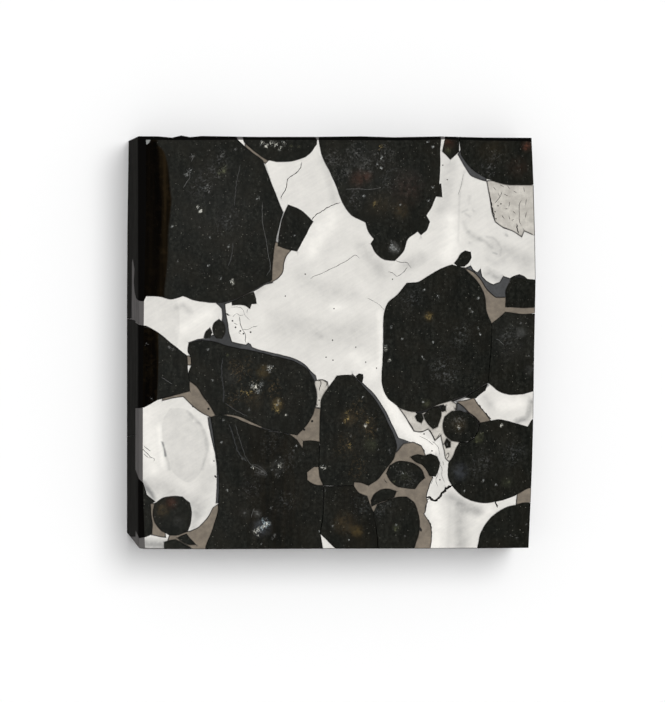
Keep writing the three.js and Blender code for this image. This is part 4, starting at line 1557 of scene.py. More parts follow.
# Cracks in the metal, named after where they run.
CRACK_FROM_TOP = (
    (-3.45, 18.0), (-3.55, 17.5), (-3.8, 17.1), (-4.2, 16.75), (-4.7, 16.45), (-4.9, 16.25),
    (-4.95, 15.6), (-5.1, 15.2), (-5.35, 14.8), (-5.5, 14.5), (-5.5, 14.3),
)
CRACK_BY_NOTCH = (
    (0.4, 13.95), (-0.2, 13.75), (-0.8, 13.5), (-1.4, 13.1), (-2.0, 12.75), (-2.3, 12.45), (-2.4, 12.2),
)
CRACK_ACROSS_MIDDLE = (
    (2.35, 8.4), (2.1, 8.65), (1.9, 8.7), (1.5, 8.45), (1.1, 8.15), (0.5, 7.85), (0.0, 7.55),
    (-0.5, 7.35), (-1.0, 7.08), (-1.6, 6.8), (-2.2, 6.6), (-2.6, 6.3),
)
CRACK_ROUND_SPUR = ((6.0, 8.2), (6.5, 8.0), (7.2, 7.97), (7.4, 7.7), (7.6, 7.4))
CRACK_UNDER_SPUR = ((7.2, 7.5), (6.9, 7.1), (6.4, 6.7), (6.1, 6.6), (5.8, 6.9), (5.3, 7.05))
CRACK_INTO_TROILITE = (
    (11.7, -14.4), (11.2, -14.6), (10.8, -15.1), (10.4, -15.6), (10.0, -15.85), (9.7, -15.75),
    (9.5, -15.55), (9.15, -15.5),
)
CRACK_BESIDE_TROILITE = (
    (9.5, -15.6), (9.15, -15.9), (9.05, -16.4), (9.05, -16.8), (8.9, -17.2), (9.1, -17.65),
    (9.5, -18.2), (9.65, -19.0), (9.6, -19.9), (9.45, -20.7),
)
CRACK_OVER_TROILITE = ((7.35, -10.05), (8.1, -10.15), (8.65, -10.5), (9.0, -11.2))
CRACK_BY_BAND = ((14.25, -6.05), (14.8, -6.75), (15.25, -7.3), (15.65, -7.75))

# Nets of hairlines in the metal, and the cracks beside the grey vein.
NET_BY_VEIN = (
    ((-10.5, 3.45), (-9.9, 3.5), (-9.4, 3.3), (-9.15, 2.7), (-8.7, 2.2)),
    ((-10.4, 2.5), (-10.0, 2.85), (-9.65, 2.65), (-9.3, 2.75)),
    ((-9.4, 1.3), (-8.9, 1.25), (-8.4, 1.5), (-7.9, 1.6)),
    ((-9.65, 1.15), (-9.75, 0.95), (-9.5, 0.75)),
    ((-10.3, 1.95), (-9.9, 1.75)),
    ((-8.9, 3.3), (-8.95, 2.9)),
)
CRACK_BESIDE_VEIN = (
    (-9.75, 2.6), (-9.67, 2.3), (-9.61, 1.8), (-9.42, 1.3), (-9.2, 0.95), (-9.08, 0.6), (-9.12, 0.2),
    (-9.04, -0.1),
)
CRACK_FROM_VEIN = ((-11.25, 3.0), (-10.96, 2.78), (-10.68, 2.69))
NET_BY_TROILITE = (
    ((8.4, -9.4), (9.2, -9.8), (9.8, -10.3)),
    ((9.7, -9.9), (10.3, -10.5), (10.5, -11.3)),
    ((10.1, -11.0), (10.2, -11.9), (10.7, -12.6), (10.7, -13.4), (11.0, -14.1)),
    ((9.8, -11.7), (9.9, -12.4), (10.3, -13.1), (10.1, -13.9), (10.3, -14.5)),
    ((9.6, -13.0), (9.8, -13.6), (9.6, -14.3)),
    ((10.8, -11.9), (10.9, -12.4)),
)

# All the cracks in the metal, gathered by width.
METAL_CRACKS = (
    cracks(CRACK_FROM_TOP, CRACK_BY_NOTCH, width=0.085)
    + cracks(CRACK_ACROSS_MIDDLE, CRACK_ROUND_SPUR, CRACK_UNDER_SPUR, width=0.05)
    + cracks(CRACK_INTO_TROILITE, width=0.27, depth=0.12)
    + cracks(CRACK_BESIDE_TROILITE, CRACK_OVER_TROILITE, CRACK_BY_BAND, width=0.14)
    + cracks(((16.2, -15.75), (16.2, -16.2), (16.35, -16.6)), width=0.15)
    + cracks(CRACK_FROM_VEIN, width=0.14)
    + cracks(CRACK_BESIDE_VEIN, width=0.065)
    + cracks(*NET_BY_VEIN, *NET_BY_TROILITE, width=0.04, depth=0.03)
    + cracks(
        ((18.35, -15.5), (18.25, -15.9), (18.3, -16.3)),
        ((-19.3, -10.3), (-18.95, -10.6), (-18.6, -10.85)),
        ((-19.4, -10.6), (-18.9, -11.1), (-18.5, -11.5), (-18.2, -11.6), (-18.25, -11.85)),
        ((-19.3, -11.1), (-18.8, -11.5)),
    )
    + cracks(
        ((3.2, 4.4), (4.3, 3.8), (4.9, 3.2)),
        ((12.9, 16.9), (12.65, 15.7), (12.35, 14.8)),
        width=0.035,
        depth=0.02,
    )
)
METAL_PITS = (
    pits((5.7, 6.3), (10.8, 17.75), (11.25, 16.3), (-3.1, 6.8), (-5.1, 4.6), (-0.2, 3.35), (-0.35, 0.2))
    + pits((-0.3, -1.8), (-1.0, -1.5), (4.1, -2.6), (3.0, -2.0), (2.0, -0.5), (-12.25, -11.85))
    + pits((-10.09, 1.48), (-10.4, 2.12), (-9.61, 1.12), (-9.3, 0.85), (-8.58, 1.0), radius=0.09)
    + pits((8.9, -9.2), (9.7, -10.9), (10.45, -12.1), (9.9, -12.8), (10.5, -13.8), radius=0.08)
    + (Pit((-14.3, -6.4), 0.09, 1.8, 20.0), Pit((-12.1, -13.4), 0.09, 1.8, -50.0))
)
# Clouds, streaks and soft edges on the metal, part by part: partly dull patches of the metal itself, partly
# painted reflection and painted shade.
OVAL_CLOUD = (
    (-16.6, -6.65), (-17.2, -7.57), (-17.4, -8.7), (-17.25, -10.1), (-17.0, -11.2), (-16.5, -11.9),
    (-16.5, -12.6), (-15.7, -13.5), (-14.8, -13.9), (-13.9, -13.3), (-13.2, -11.9), (-12.8, -10.4),
    (-13.0, -9.3), (-13.4, -8.4), (-13.75, -8.0), (-14.4, -8.0), (-14.4, -7.3), (-15.2, -6.7),
)
CLOUDS_AND_SHEEN_UPPER_LEFT = (
    Cloud(((-20.2, 4.9), (-16.35, 4.9), (-16.35, -1.2), (-20.2, -1.2)), 0.07, 0.15),
    Smear(((-16.0, 3.4), (-15.4, 3.6), (-14.7, 3.1)), 0.55, 0.2),
    Smear(((-15.4, 1.2), (-14.2, 2.0), (-12.9, 2.8)), 1.1, -0.12),
    Smear(((-10.4, 3.2), (-9.6, 1.2), (-9.0, 0.2)), 1.0, -0.08),
)
CLOUDS_AND_SHEEN_LOWER_LEFT = (
    Cloud(OVAL_CLOUD, 0.09, 0.12),
    Smear(((-14.9, -6.9), (-13.6, -8.2), (-13.05, -9.6), (-12.95, -10.8), (-13.4, -12.6)), 0.3, 0.14),
    Smear(((-12.7, -8.6), (-12.4, -10.2), (-12.5, -12.0)), 0.32, -0.12),
    Smear(((-12.4, -12.8), (-13.0, -14.6), (-13.7, -16.6)), 1.6, 0.1),
    Smear(((-7.3, 18.1), (-6.55, 15.7), (-5.5, 13.1)), 0.22, 0.45),
    Smear(((-5.45, 12.95), (-5.85, 11.6), (-6.0, 10.0)), 0.3, 0.7),
    Smear(((-18.9, -7.2), (-18.6, -10.0), (-18.3, -12.6)), 1.3, -0.1),
    Smear(((-17.75, -8.4), (-17.6, -10.2), (-17.3, -12.4)), 0.4, -0.12),
    Smear(((-17.4, -10.0), (-17.2, -10.7), (-17.1, -11.3)), 0.16, 0.7),
    Smear(((-17.1, -11.3), (-16.8, -11.9), (-16.7, -12.7)), 0.25, 0.2),
    Smear(((-19.0, -14.4), (-16.6, -15.0), (-14.4, -16.4)), 1.7, 0.16),
    Smear(((-19.4, -13.9), (-18.9, -14.6), (-18.2, -15.6)), 0.4, 0.35),
    Smear(((-14.0, -17.0), (-14.4, -18.4)), 0.7, 0.16),
    Smear(((-19.2, -20.1), (-17.2, -20.2)), 0.9, 0.4),
)
CLOUDS_AND_SHEEN_CENTRE = (
    Smear(((-6.2, 17.4), (-5.4, 15.8)), 1.2, -0.05),
    Smear(((-1.4, 18.3), (-0.6, 16.2), (-0.2, 14.2)), 0.7, 0.12),
    Smear(((-0.6, 12.6), (-1.5, 10.8), (-2.3, 9.3)), 1.7, -0.14),
    Smear(((2.6, 9.6), (3.6, 8.2), (4.8, 7.0)), 1.1, 0.13),
    Smear(((-3.6, 6.4), (-1.0, 5.1), (1.6, 4.9)), 1.5, 0.1),
    Smear(((-5.4, 1.8), (-1.5, 0.7), (2.0, 1.0)), 2.3, 0.12),
    Smear(((-0.3, 3.4), (0.3, 3.5)), 0.7, -0.13),
    Smear(((-1.9, 0.9), (-1.4, 0.5)), 0.5, 0.1),
    Smear(((1.8, -1.5), (3.6, -2.9)), 1.4, -0.12),
    Smear(((4.4, 3.0), (4.5, 0.5), (4.45, -2.4)), 0.5, -0.12),
    Smear(((5.2, -5.2), (6.4, -8.0), (8.0, -9.5), (9.8, -10.6)), 1.0, -0.22),
    Smear(((-5.3, 8.3), (-6.3, 6.6), (-8.0, 4.8)), 0.6, 0.1),
)
CLOUDS_AND_SHEEN_UPPER_RIGHT = (
    Smear(((11.5, 17.8), (11.3, 15.6), (10.6, 13.4)), 1.1, 0.12),
    Smear(((11.7, 12.4), (11.9, 10.4), (11.3, 8.8)), 1.5, -0.16),
    Smear(((7.0, 7.7), (8.8, 8.5)), 1.1, 0.14),
    Smear(((13.0, 17.0), (12.5, 15.0), (12.35, 10.2)), 0.2, 0.12),
    Smear(((12.9, 12.1), (13.1, 11.5), (13.4, 11.05)), 0.34, 0.12),
    Smear(((13.5, 10.95), (13.95, 10.6), (14.5, 10.35)), 0.5, 0.16),
    Smear(((14.5, 10.4), (15.2, 10.05), (15.8, 9.4)), 0.3, 0.14),
    Smear(((15.2, 10.6), (15.9, 10.5), (16.35, 10.1)), 0.22, 0.13),
    Smear(((16.5, 9.8), (16.7, 9.4), (16.65, 8.8)), 0.22, 0.12),
    Smear(((15.9, 9.0), (16.3, 8.85)), 0.14, 0.2),
    Smear(((12.75, 13.05), (13.2, 13.25)), 0.18, 0.14),
    Smear(((13.1, 12.9), (13.5, 12.65)), 0.2, 0.16),
    Smear(((13.5, 14.7), (13.45, 14.1)), 0.3, 0.12),
    Smear(((13.85, 13.25), (13.95, 13.15)), 0.18, 0.16),
    Smear(((13.45, 10.0), (13.55, 9.95)), 0.22, 0.16),
    Smear(((17.2, 10.8), (17.35, 10.7)), 0.24, 0.24),
    Smear(((15.3, 8.4), (16.2, 7.9), (16.9, 8.1)), 0.5, 0.1),
    Smear(((16.0, 9.6), (17.8, 8.8), (19.4, 8.0)), 1.5, 0.17),
    Smear(((15.4, 6.9), (16.6, 6.4)), 0.7, 0.3),
)
CLOUDS_AND_SHEEN_LOWER_RIGHT = (
    Smear(((10.4, -11.6), (10.6, -13.6), (10.2, -15.0)), 0.9, 0.08),
    Smear(((9.9, -16.4), (10.3, -18.0), (10.1, -20.4)), 1.2, -0.16),
    Smear(((11.5, -15.5), (12.4, -16.1), (13.4, -16.6), (14.4, -17.0)), 0.9, 0.3),
    Smear(((11.5, -16.5), (11.5, -18.4), (11.4, -20.6)), 0.4, 0.08),
    Smear(((12.5, -17.2), (12.7, -20.6)), 1.2, 0.22),
    Smear(((14.4, -17.8), (15.6, -16.9)), 0.7, -0.1),
    Smear(((14.8, -5.2), (15.6, -6.3)), 0.7, 0.16),
    Smear(((16.7, -6.3), (18.6, -6.1)), 1.1, -0.16),
    # Painted shade where the right edge of the slice rounds off.
    Smear(((18.3, -8.0), (19.4, -7.6), (19.8, -6.0)), 0.5, 0.4),
)
# Black stains, most of them in place of slivers of crystal too narrow for the solids.
STAINS = (
    Spot(
        ((17.55, 6.2), (17.6, 6.45), (18.1, 6.7), (18.55, 6.84), (19.05, 6.66), (19.6, 6.2), (19.6, 5.9)),
        Tone.PITCH,
    ),
    Spot(((6.83, 5.0), (7.08, 5.92), (7.26, 5.7), (7.53, 5.97), (7.5, 5.1)), Tone.PITCH),
    Smear(((11.6, -5.95), (13.2, -5.3), (14.4, -4.75), (15.2, -4.25)), 0.34, 2.2),
    Smear(((12.9, -6.7), (14.2, -7.8), (14.5, -8.5), (13.7, -9.5), (12.7, -9.95), (11.9, -9.85)), 0.6, 2.2),
    Smear(((-1.5, -12.6), (-1.3, -14.5), (-1.4, -18.4)), 0.45, 2.2),
    Smear(((-7.9, -8.3), (-6.2, -8.75), (-4.4, -9.05)), 0.5, 2.2),
)
METAL_CLOUDS_STAINS_AND_SHEEN = (
    CLOUDS_AND_SHEEN_UPPER_LEFT + CLOUDS_AND_SHEEN_LOWER_LEFT + CLOUDS_AND_SHEEN_CENTRE + CLOUDS_AND_SHEEN_UPPER_RIGHT + CLOUDS_AND_SHEEN_LOWER_RIGHT + STAINS
)

# Parts of crystals painted darker, with a thinner coat: the lower middle, darker all over, and the zone
# along the left edge, a painted dark reflection with brown streaks in it.
PAINTED_DARK_ZONES = (
    Smear(((-6.5, -10.5), (-6.0, -19.5)), 5.5, 0.32),
    Smear(((1.5, -14.5), (2.5, -19.5)), 4.0, 0.2),
    Cloud(
        (
            (-18.0, 19.6), (-17.4, 19.0), (-17.1, 18.2), (-16.9, 17.2), (-16.7, 15.0), (-16.6, 14.0),
            (-16.9, 11.0), (-17.0, 8.0), (-17.3, 5.2), (-17.5, 4.0), (-20.0, 4.0), (-20.0, 20.6),
            (-18.2, 20.6),
        ),
        0.8,
        0.2,
    ),
    Cloud(
        ((-18.1, 19.4), (-17.9, 17.0), (-17.8, 12.0), (-18.1, 4.0), (-20.0, 4.0), (-20.0, 20.6)),
        0.2,
        0.5,
    ),
    Cloud(
        (
            (-17.9, 1.2), (-17.85, -1.5), (-17.9, -3.5), (-18.0, -5.8), (-18.0, -7.2), (-20.2, -7.2),
            (-20.2, 1.2),
        ),
        0.92,
        0.1,
    ),
)

# Painted glints in the crystals, roughly of the upper half and then of the lower half.
UPPER_GLINTS = (
    glints(Tone.WHITE, 0.2, 7, 60, (-13.9, 13.4), (-13.6, 13.1))
    + glints(Tone.SILVER, 0.17, 5, 70, (-11.6, 6.4), (-10.8, 9.6))
    + glints(Tone.ASH, 0.15, 4, 70, (-15.9, 8.1), (-13.7, 11.4), (-10.6, 12.55), (-10.1, 19.2))
    + glints(Tone.WHITE, 0.24, 7, 85, (-10.4, 6.0))
    + glints(Tone.SILVER, 0.2, 6, 60, (-15.0, 16.7), (-14.6, 17.1), (-7.85, 14.4))
    + glints(Tone.OLIVE, 0.4, 9, 90, (-11.6, 16.9), (-11.3, 17.3))
    + glints(Tone.ASH, 0.34, 9, 40, (-12.8, 15.5), (-11.5, 18.7))
    + glints(Tone.SILVER, 0.13, 4, 40, (-12.8, 7.6), (-12.7, 10.4), (-16.4, 11.5))
    + glints(Tone.ASH, 0.21, 6, 20, (-14.4, 18.5), (-12.8, 15.0), (-11.8, 16.5))
    + glints(Tone.WHITE, 0.24, 5, 60, (-7.4, 19.9), (-7.0, 19.6), (-6.5, 19.9), (-5.6, 19.4))
    + glints(Tone.OLIVE, 0.21, 5, 30, (-4.5, 19.6), (-3.7, 19.5))
    + glints(Tone.SILVER, 0.16, 5, 75, (6.5, 13.7), (2.8, 14.6), (4.6, 18.5), (4.55, 17.4), (4.2, 17.8))
    + glints(Tone.SILVER, 0.14, 4, 50, (9.75, 15.5), (9.35, 14.2), (9.8, 19.6), (9.3, 20.1))
    + glints(Tone.GOLD, 0.26, 5, 60, (4.5, 19.5), (3.9, 13.8))
    + glints(Tone.RUST, 0.4, 6, 60, (19.3, 19.7))
    + glints(Tone.OLIVE, 0.21, 5, 60, (11.3, 19.2))
    + glints(Tone.SILVER, 0.12, 4, 60, (-4.2, 10.7))
    + glints(Tone.SILVER, 0.42, 14, -50, (5.95, 9.4), (5.7, 9.65))
    + glints(Tone.GOLD, 0.34, 8, 60, (9.4, 2.6))
    + glints(Tone.SILVER, 0.14, 4, 70, (5.6, 1.5), (5.0, -0.4), (10.3, 4.65), (14.4, 4.4), (8.9, 5.2))
    + glints(Tone.SILVER, 0.13, 3, 120, (13.5, 3.4), (13.8, 3.0), (14.4, 1.4), (14.6, 0.8))
    + glints(Tone.WHITE, 0.24, 5, 90, (5.0, -0.6), (5.45, -1.8))
    + glints(Tone.SILVER, 0.12, 3, 110, (8.7, -1.5), (8.9, -1.75), (9.8, 0.0), (6.7, 0.3), (8.8, -6.0))
    + glints(Tone.ASH, 0.12, 3, 60, (17.25, 0.9), (18.7, 1.9), (19.5, -1.4))
    + glints(Tone.SMOKE, 1.1, 12, 60, (-0.6, 18.2), (0.8, 17.2), (1.8, 18.9), (3.2, 17.8), (4.9, 18.9))
    + glints(Tone.HAZE, 1.2, 8, 60, (-13.6, 15.6), (-11.0, 12.0), (-12.0, 17.6), (5.4, 16.4), (1.6, 14.2))
    + glints(Tone.HAZE, 1.2, 8, 60, (12.6, 0.6), (10.4, -2.4), (7.6, 4.4), (15.8, 17.8), (17.6, 0.4))
    + glints(Tone.WHITE, 0.26, 5, 70, (-6.0, 19.7), (-5.2, 19.9))
)
LOWER_GLINTS = (
    glints(Tone.ASH, 0.18, 5, 0, (-19.0, -0.15), (-16.7, -0.5), (-16.35, -0.75), (-18.45, -5.6))
    + glints(Tone.SILVER, 0.13, 4, 60, (-12.85, -0.7), (-12.4, -3.85))
    + glints(Tone.OLIVE, 0.18, 4, 60, (-10.95, -1.3))
    + glints(Tone.SILVER, 0.12, 4, 20, (-6.85, -2.8), (-6.7, -3.0), (-6.3, -2.4))
    + glints(Tone.GOLD, 0.24, 5, 10, (-8.5, -5.0), (-8.8, -5.1), (-9.3, -5.0))
    + glints(Tone.WHITE, 0.3, 5, 40, (-8.1, -4.5))
    + glints(Tone.SILVER, 0.3, 7, 50, (-8.5, -4.3), (-7.5, -4.25), (-7.8, -4.9), (-5.9, -6.1))
    + glints(Tone.WHITE, 0.22, 7, 15, (-6.65, -2.5))
    + glints(Tone.BRONZE, 0.7, 12, 80, (-10.4, -2.4), (-9.8, -3.2))
    + glints(Tone.GOLD, 0.28, 6, 60, (-6.1, -6.2), (-5.7, -6.0), (-6.2, -6.6), (-5.9, -6.9))
    + glints(Tone.WHITE, 0.14, 4, 60, (-5.0, -7.25))
    + glints(Tone.ASH, 0.18, 4, 60, (-8.7, -6.7))
    + glints(Tone.SILVER, 0.12, 4, 70, (-11.3, -7.8), (-11.5, -10.0), (-10.9, -14.8), (-4.0, -10.3))
    + glints(Tone.WHITE, 0.3, 7, 60, (-5.7, -12.4))
    + glints(Tone.ASH, 0.16, 4, 60, (-5.7, -11.5), (-6.0, -11.9), (-6.4, -12.8), (-6.0, -13.2))
    + glints(Tone.ASH, 0.16, 4, 60, (-5.75, -13.4))
    + glints(Tone.ASH, 0.16, 4, 60, (-4.3, -10.9), (-3.3, -11.2), (-9.3, -11.6))
    + glints(Tone.WHITE, 0.2, 6, 120, (-8.3, -12.55))
    + glints(Tone.ASH, 0.34, 9, 145, (-7.8, -12.9), (-7.3, -13.1), (-8.0, -17.0))
    + glints(Tone.WHITE, 0.34, 14, 35, (-7.75, -18.65), (-7.3, -18.4))
    + glints(Tone.WHITE, 0.24, 8, 60, (-8.1, -18.95), (-7.0, -18.15))
    + glints(Tone.ICE, 0.38, 12, 50, (-7.3, -17.9), (-6.9, -18.2), (-7.5, -18.6))
    + glints(Tone.WHITE, 0.12, 4, 120, (-7.85, -19.25))
    + glints(Tone.ASH, 0.17, 5, 60, (-7.0, -17.6), (-6.6, -18.1), (-6.5, -16.6), (-6.2, -19.3))
    + glints(Tone.ASH, 0.14, 4, 60, (-6.4, -19.6), (-7.5, -20.2), (-9.2, -17.0))
    + glints(Tone.GOLD, 0.22, 6, 80, (1.1, -7.0), (1.15, -7.6), (0.95, -7.85), (3.2, -8.0), (1.4, -10.3))
    + glints(Tone.WHITE, 0.2, 5, 60, (2.95, -8.35), (-1.4, -12.5), (-1.2, -12.6))
    + glints(Tone.ASH, 0.13, 4, 60, (4.25, -8.7), (1.5, -9.4), (4.3, -10.75), (5.4, -10.8), (5.5, -11.1))
    + glints(Tone.SILVER, 0.11, 3, 60, (2.7, -5.5), (1.3, -19.8), (-0.35, -18.4), (-1.7, -18.9))
    + glints(Tone.ASH, 0.13, 4, 60, (-0.3, -15.8), (-1.1, -14.8), (7.0, -19.4))
    + glints(Tone.SILVER, 0.13, 4, 50, (6.1, -18.3), (6.75, -13.1))
    + glints(Tone.OLIVE, 0.16, 4, 80, (6.0, -18.8), (7.45, -13.7), (5.9, -13.9))
    + glints(Tone.SILVER, 0.12, 4, 90, (12.5, -8.7))
    + glints(Tone.WHITE, 0.2, 5, 60, (16.75, -8.35))
    + glints(Tone.OLIVE, 0.14, 4, 50, (14.25, -10.0), (14.4, -9.5), (14.8, -9.15), (17.5, -14.0))
    + glints(Tone.SILVER, 0.12, 4, 60, (14.9, -13.9), (13.0, -14.95), (16.2, -14.3))
    + glints(Tone.ASH, 0.13, 4, 60, (19.25, -18.3), (17.7, -19.4), (18.3, -19.7), (11.25, -10.25))
    + glints(Tone.BRONZE, 1.1, 8, 70, (-9.4, -2.8), (-8.6, -4.6), (-6.4, -4.8), (-10.2, -5.4))
    + glints(Tone.BRONZE, 1.1, 8, 70, (2.2, -6.8), (3.4, -8.6), (0.9, -10.4), (2.2, -12.6))
    + glints(Tone.HAZE, 1.2, 8, 60, (-6.6, -10.0), (-4.6, -12.0), (-8.6, -14.6), (-5.0, -15.8))
    + glints(Tone.HAZE, 1.2, 8, 60, (2.6, -16.2), (5.0, -16.4), (14.6, -12.2), (18.0, -11.2), (11.4, -3.2))
    + glints(Tone.SMOKE, 0.8, 8, 40, (6.6, -13.2), (7.4, -13.9), (12.3, -8.0))
    + glints(Tone.WHITE, 0.16, 4, 60, (12.4, -8.5))
)
# Healed cracks in the crystals, from bright to faint.
INNER_CRACKS = (
    threads(
        Tone.ASH,
        0.06,
        ((-7.4, 14.0), (-7.4, 12.0), (-7.2, 11.0), (-7.0, 10.0), (-6.85, 9.0), (-6.6, 7.4), (-7.0, 6.6)),
        ((-15.0, 17.2), (-14.7, 16.8), (-14.7, 16.3), (-15.0, 15.9), (-15.3, 15.4)),
        ((1.0, 15.3), (2.2, 15.35), (3.4, 15.3), (4.5, 15.45)),
        ((16.2, 0.35), (16.6, 0.1), (17.0, -0.3)),
        ((-17.5, -3.5), (-17.0, -3.8), (-16.4, -4.2)),
        ((-8.2, -16.6), (-8.4, -17.0), (-8.5, -17.5)),
        ((-8.4, -12.3), (-7.8, -12.6), (-7.0, -13.2)),
        ((-7.0, -2.35), (-6.75, -2.3), (-6.5, -2.35)),
        ((-14.55, 18.8), (-14.35, 18.4), (-14.55, 18.0)),
    )
    + threads(
        Tone.SMOKE,
        0.09,
        ((-9.6, 17.7), (-10.0, 15.9), (-10.2, 13.6)),
        ((-10.35, 9.9), (-10.5, 8.55), (-10.85, 7.55)),
        ((-10.1, -8.2), (-9.7, -9.6), (-9.0, -11.6), (-8.4, -12.4)),
        ((-11.1, -6.1), (-9.9, -6.9), (-8.9, -7.4)),
        ((-8.6, -12.25), (-8.0, -12.25), (-7.3, -12.7), (-6.95, -13.25), (-7.5, -13.2), (-8.2, -12.9)),
    )
    + threads(
        Tone.HAZE,
        0.14,
        ((-11.4, -1.6), (-11.5, -3.2), (-11.3, -4.6), (-11.3, -6.0)),
        ((-10.7, -8.2), (-10.2, -9.8), (-9.7, -11.2), (-8.95, -11.9)),
        ((-4.5, -9.2), (-5.6, -9.0), (-6.8, -8.9)),
    )
)
# Soft colours in the crystals, and one bright chip.
INNER_PATCHES = (
    Patch((-12.0, 13.0), 7.0, Tone.SMOKE, 0.16),
    Patch((3.5, 16.5), 6.0, Tone.SMOKE, 0.14),
    Patch((18.0, 0.6), 4.0, Tone.SMOKE, 0.2),
    Patch((-7.9, -17.1), 0.6, Tone.ASH, 0.5),
    Patch((2.3, 16.4), 1.3, Tone.RUST, 0.55),
    Patch((3.2, 16.6), 0.8, Tone.RUST, 0.5),
    Spot(((-19.1, 20.25), (-18.55, 20.2), (-18.75, 19.8), (-19.0, 19.65)), Tone.SILVER),
    Patch((-17.4, -16.7), 1.0, Tone.BRONZE, 1.2),
    Patch((-16.5, -16.0), 0.9, Tone.RUST, 0.6),
    Patch((-15.8, -17.9), 0.9, Tone.SMOKE, 0.35),
    Patch((-10.6, -3.4), 1.2, Tone.SMOKE, 0.3),
    Patch((12.4, -8.3), 1.1, Tone.BRONZE, 0.7),
    Patch((4.4, 13.9), 1.8, Tone.BRONZE, 0.4),
    Patch((7.2, 15.4), 2.4, Tone.RUST, 0.25),
    Patch((7.4, 16.2), 2.6, Tone.SMOKE, 0.16),
    Patch((2.4, 18.4), 2.0, Tone.SMOKE, 0.12),
    Patch((-8.2, -5.8), 1.3, Tone.BRONZE, 0.6),
    Patch((6.5, 13.2), 1.2, Tone.BRONZE, 0.8),
    Patch((5.9, 9.4), 0.8, Tone.ASH, 0.7),
    Patch((19.3, 19.7), 0.8, Tone.RUST, 0.6),
    Patch((11.3, 20.1), 1.1, Tone.RUST, 0.55),
    Patch((16.0, 19.4), 2.2, Tone.BRONZE, 0.3),
    Patch((18.4, 17.6), 1.6, Tone.RUST, 0.2),
    Patch((11.3, 19.2), 0.6, Tone.MOSS, 0.8),
    Patch((9.4, 2.6), 0.7, Tone.HONEY, 0.9),
    Patch((9.1, -6.1), 0.6, Tone.OLIVE, 0.6),
    Patch((18.7, 1.0), 0.7, Tone.ASH, 0.5),
    Patch((19.7, -2.8), 0.9, Tone.SMOKE, 0.5),
    Patch((-18.6, -1.2), 0.7, Tone.MOSS, 0.9),
    Patch((-18.5, -2.2), 0.6, Tone.MOSS, 0.7),
    Patch((-7.3, -2.9), 1.0, Tone.HONEY, 0.6),
    Patch((-5.9, -6.2), 0.9, Tone.HONEY, 0.8),
    Patch((-7.6, -12.8), 1.0, Tone.SMOKE, 0.6),
    Patch((-5.9, -12.4), 1.1, Tone.SMOKE, 0.8),
    Patch((-7.5, -18.5), 1.3, Tone.STEEL, 1.0),
    Patch((-9.2, -17.0), 0.8, Tone.SMOKE, 0.5),
    Patch((3.5, -10.3), 1.0, Tone.MOSS, 1.0),
    Patch((1.4, -7.6), 1.2, Tone.BRONZE, 1.0),
    Patch((3.2, -8.2), 1.2, Tone.BRONZE, 0.6),
    Patch((2.1, -18.9), 0.9, Tone.HONEY, 1.0),
    Patch((0.8, -18.1), 1.5, Tone.BRONZE, 1.3),
    Patch((6.1, -18.6), 0.6, Tone.MOSS, 0.9),
    Patch((6.9, -13.4), 0.6, Tone.MOSS, 0.7),
    Patch((14.4, -9.6), 0.8, Tone.OLIVE, 0.7),
    Patch((12.5, -13.0), 1.2, Tone.STEEL, 0.6),
    Patch((17.3, -14.1), 0.8, Tone.MOSS, 0.8),
)

# What shows on the troilite.
TROILITE_MARKS = (
    cracks(((4.85, -13.7), (5.0, -13.95), (5.15, -14.1)), width=0.06)
    + pits((-3.2, -8.75), (-2.4, -7.9), (-12.8, -6.65), radius=0.12)
    + (Spot(((8.4, -18.6), (8.55, -18.55), (8.7, -18.8), (8.65, -19.0), (8.45, -18.9)), Tone.PITCH),)
)

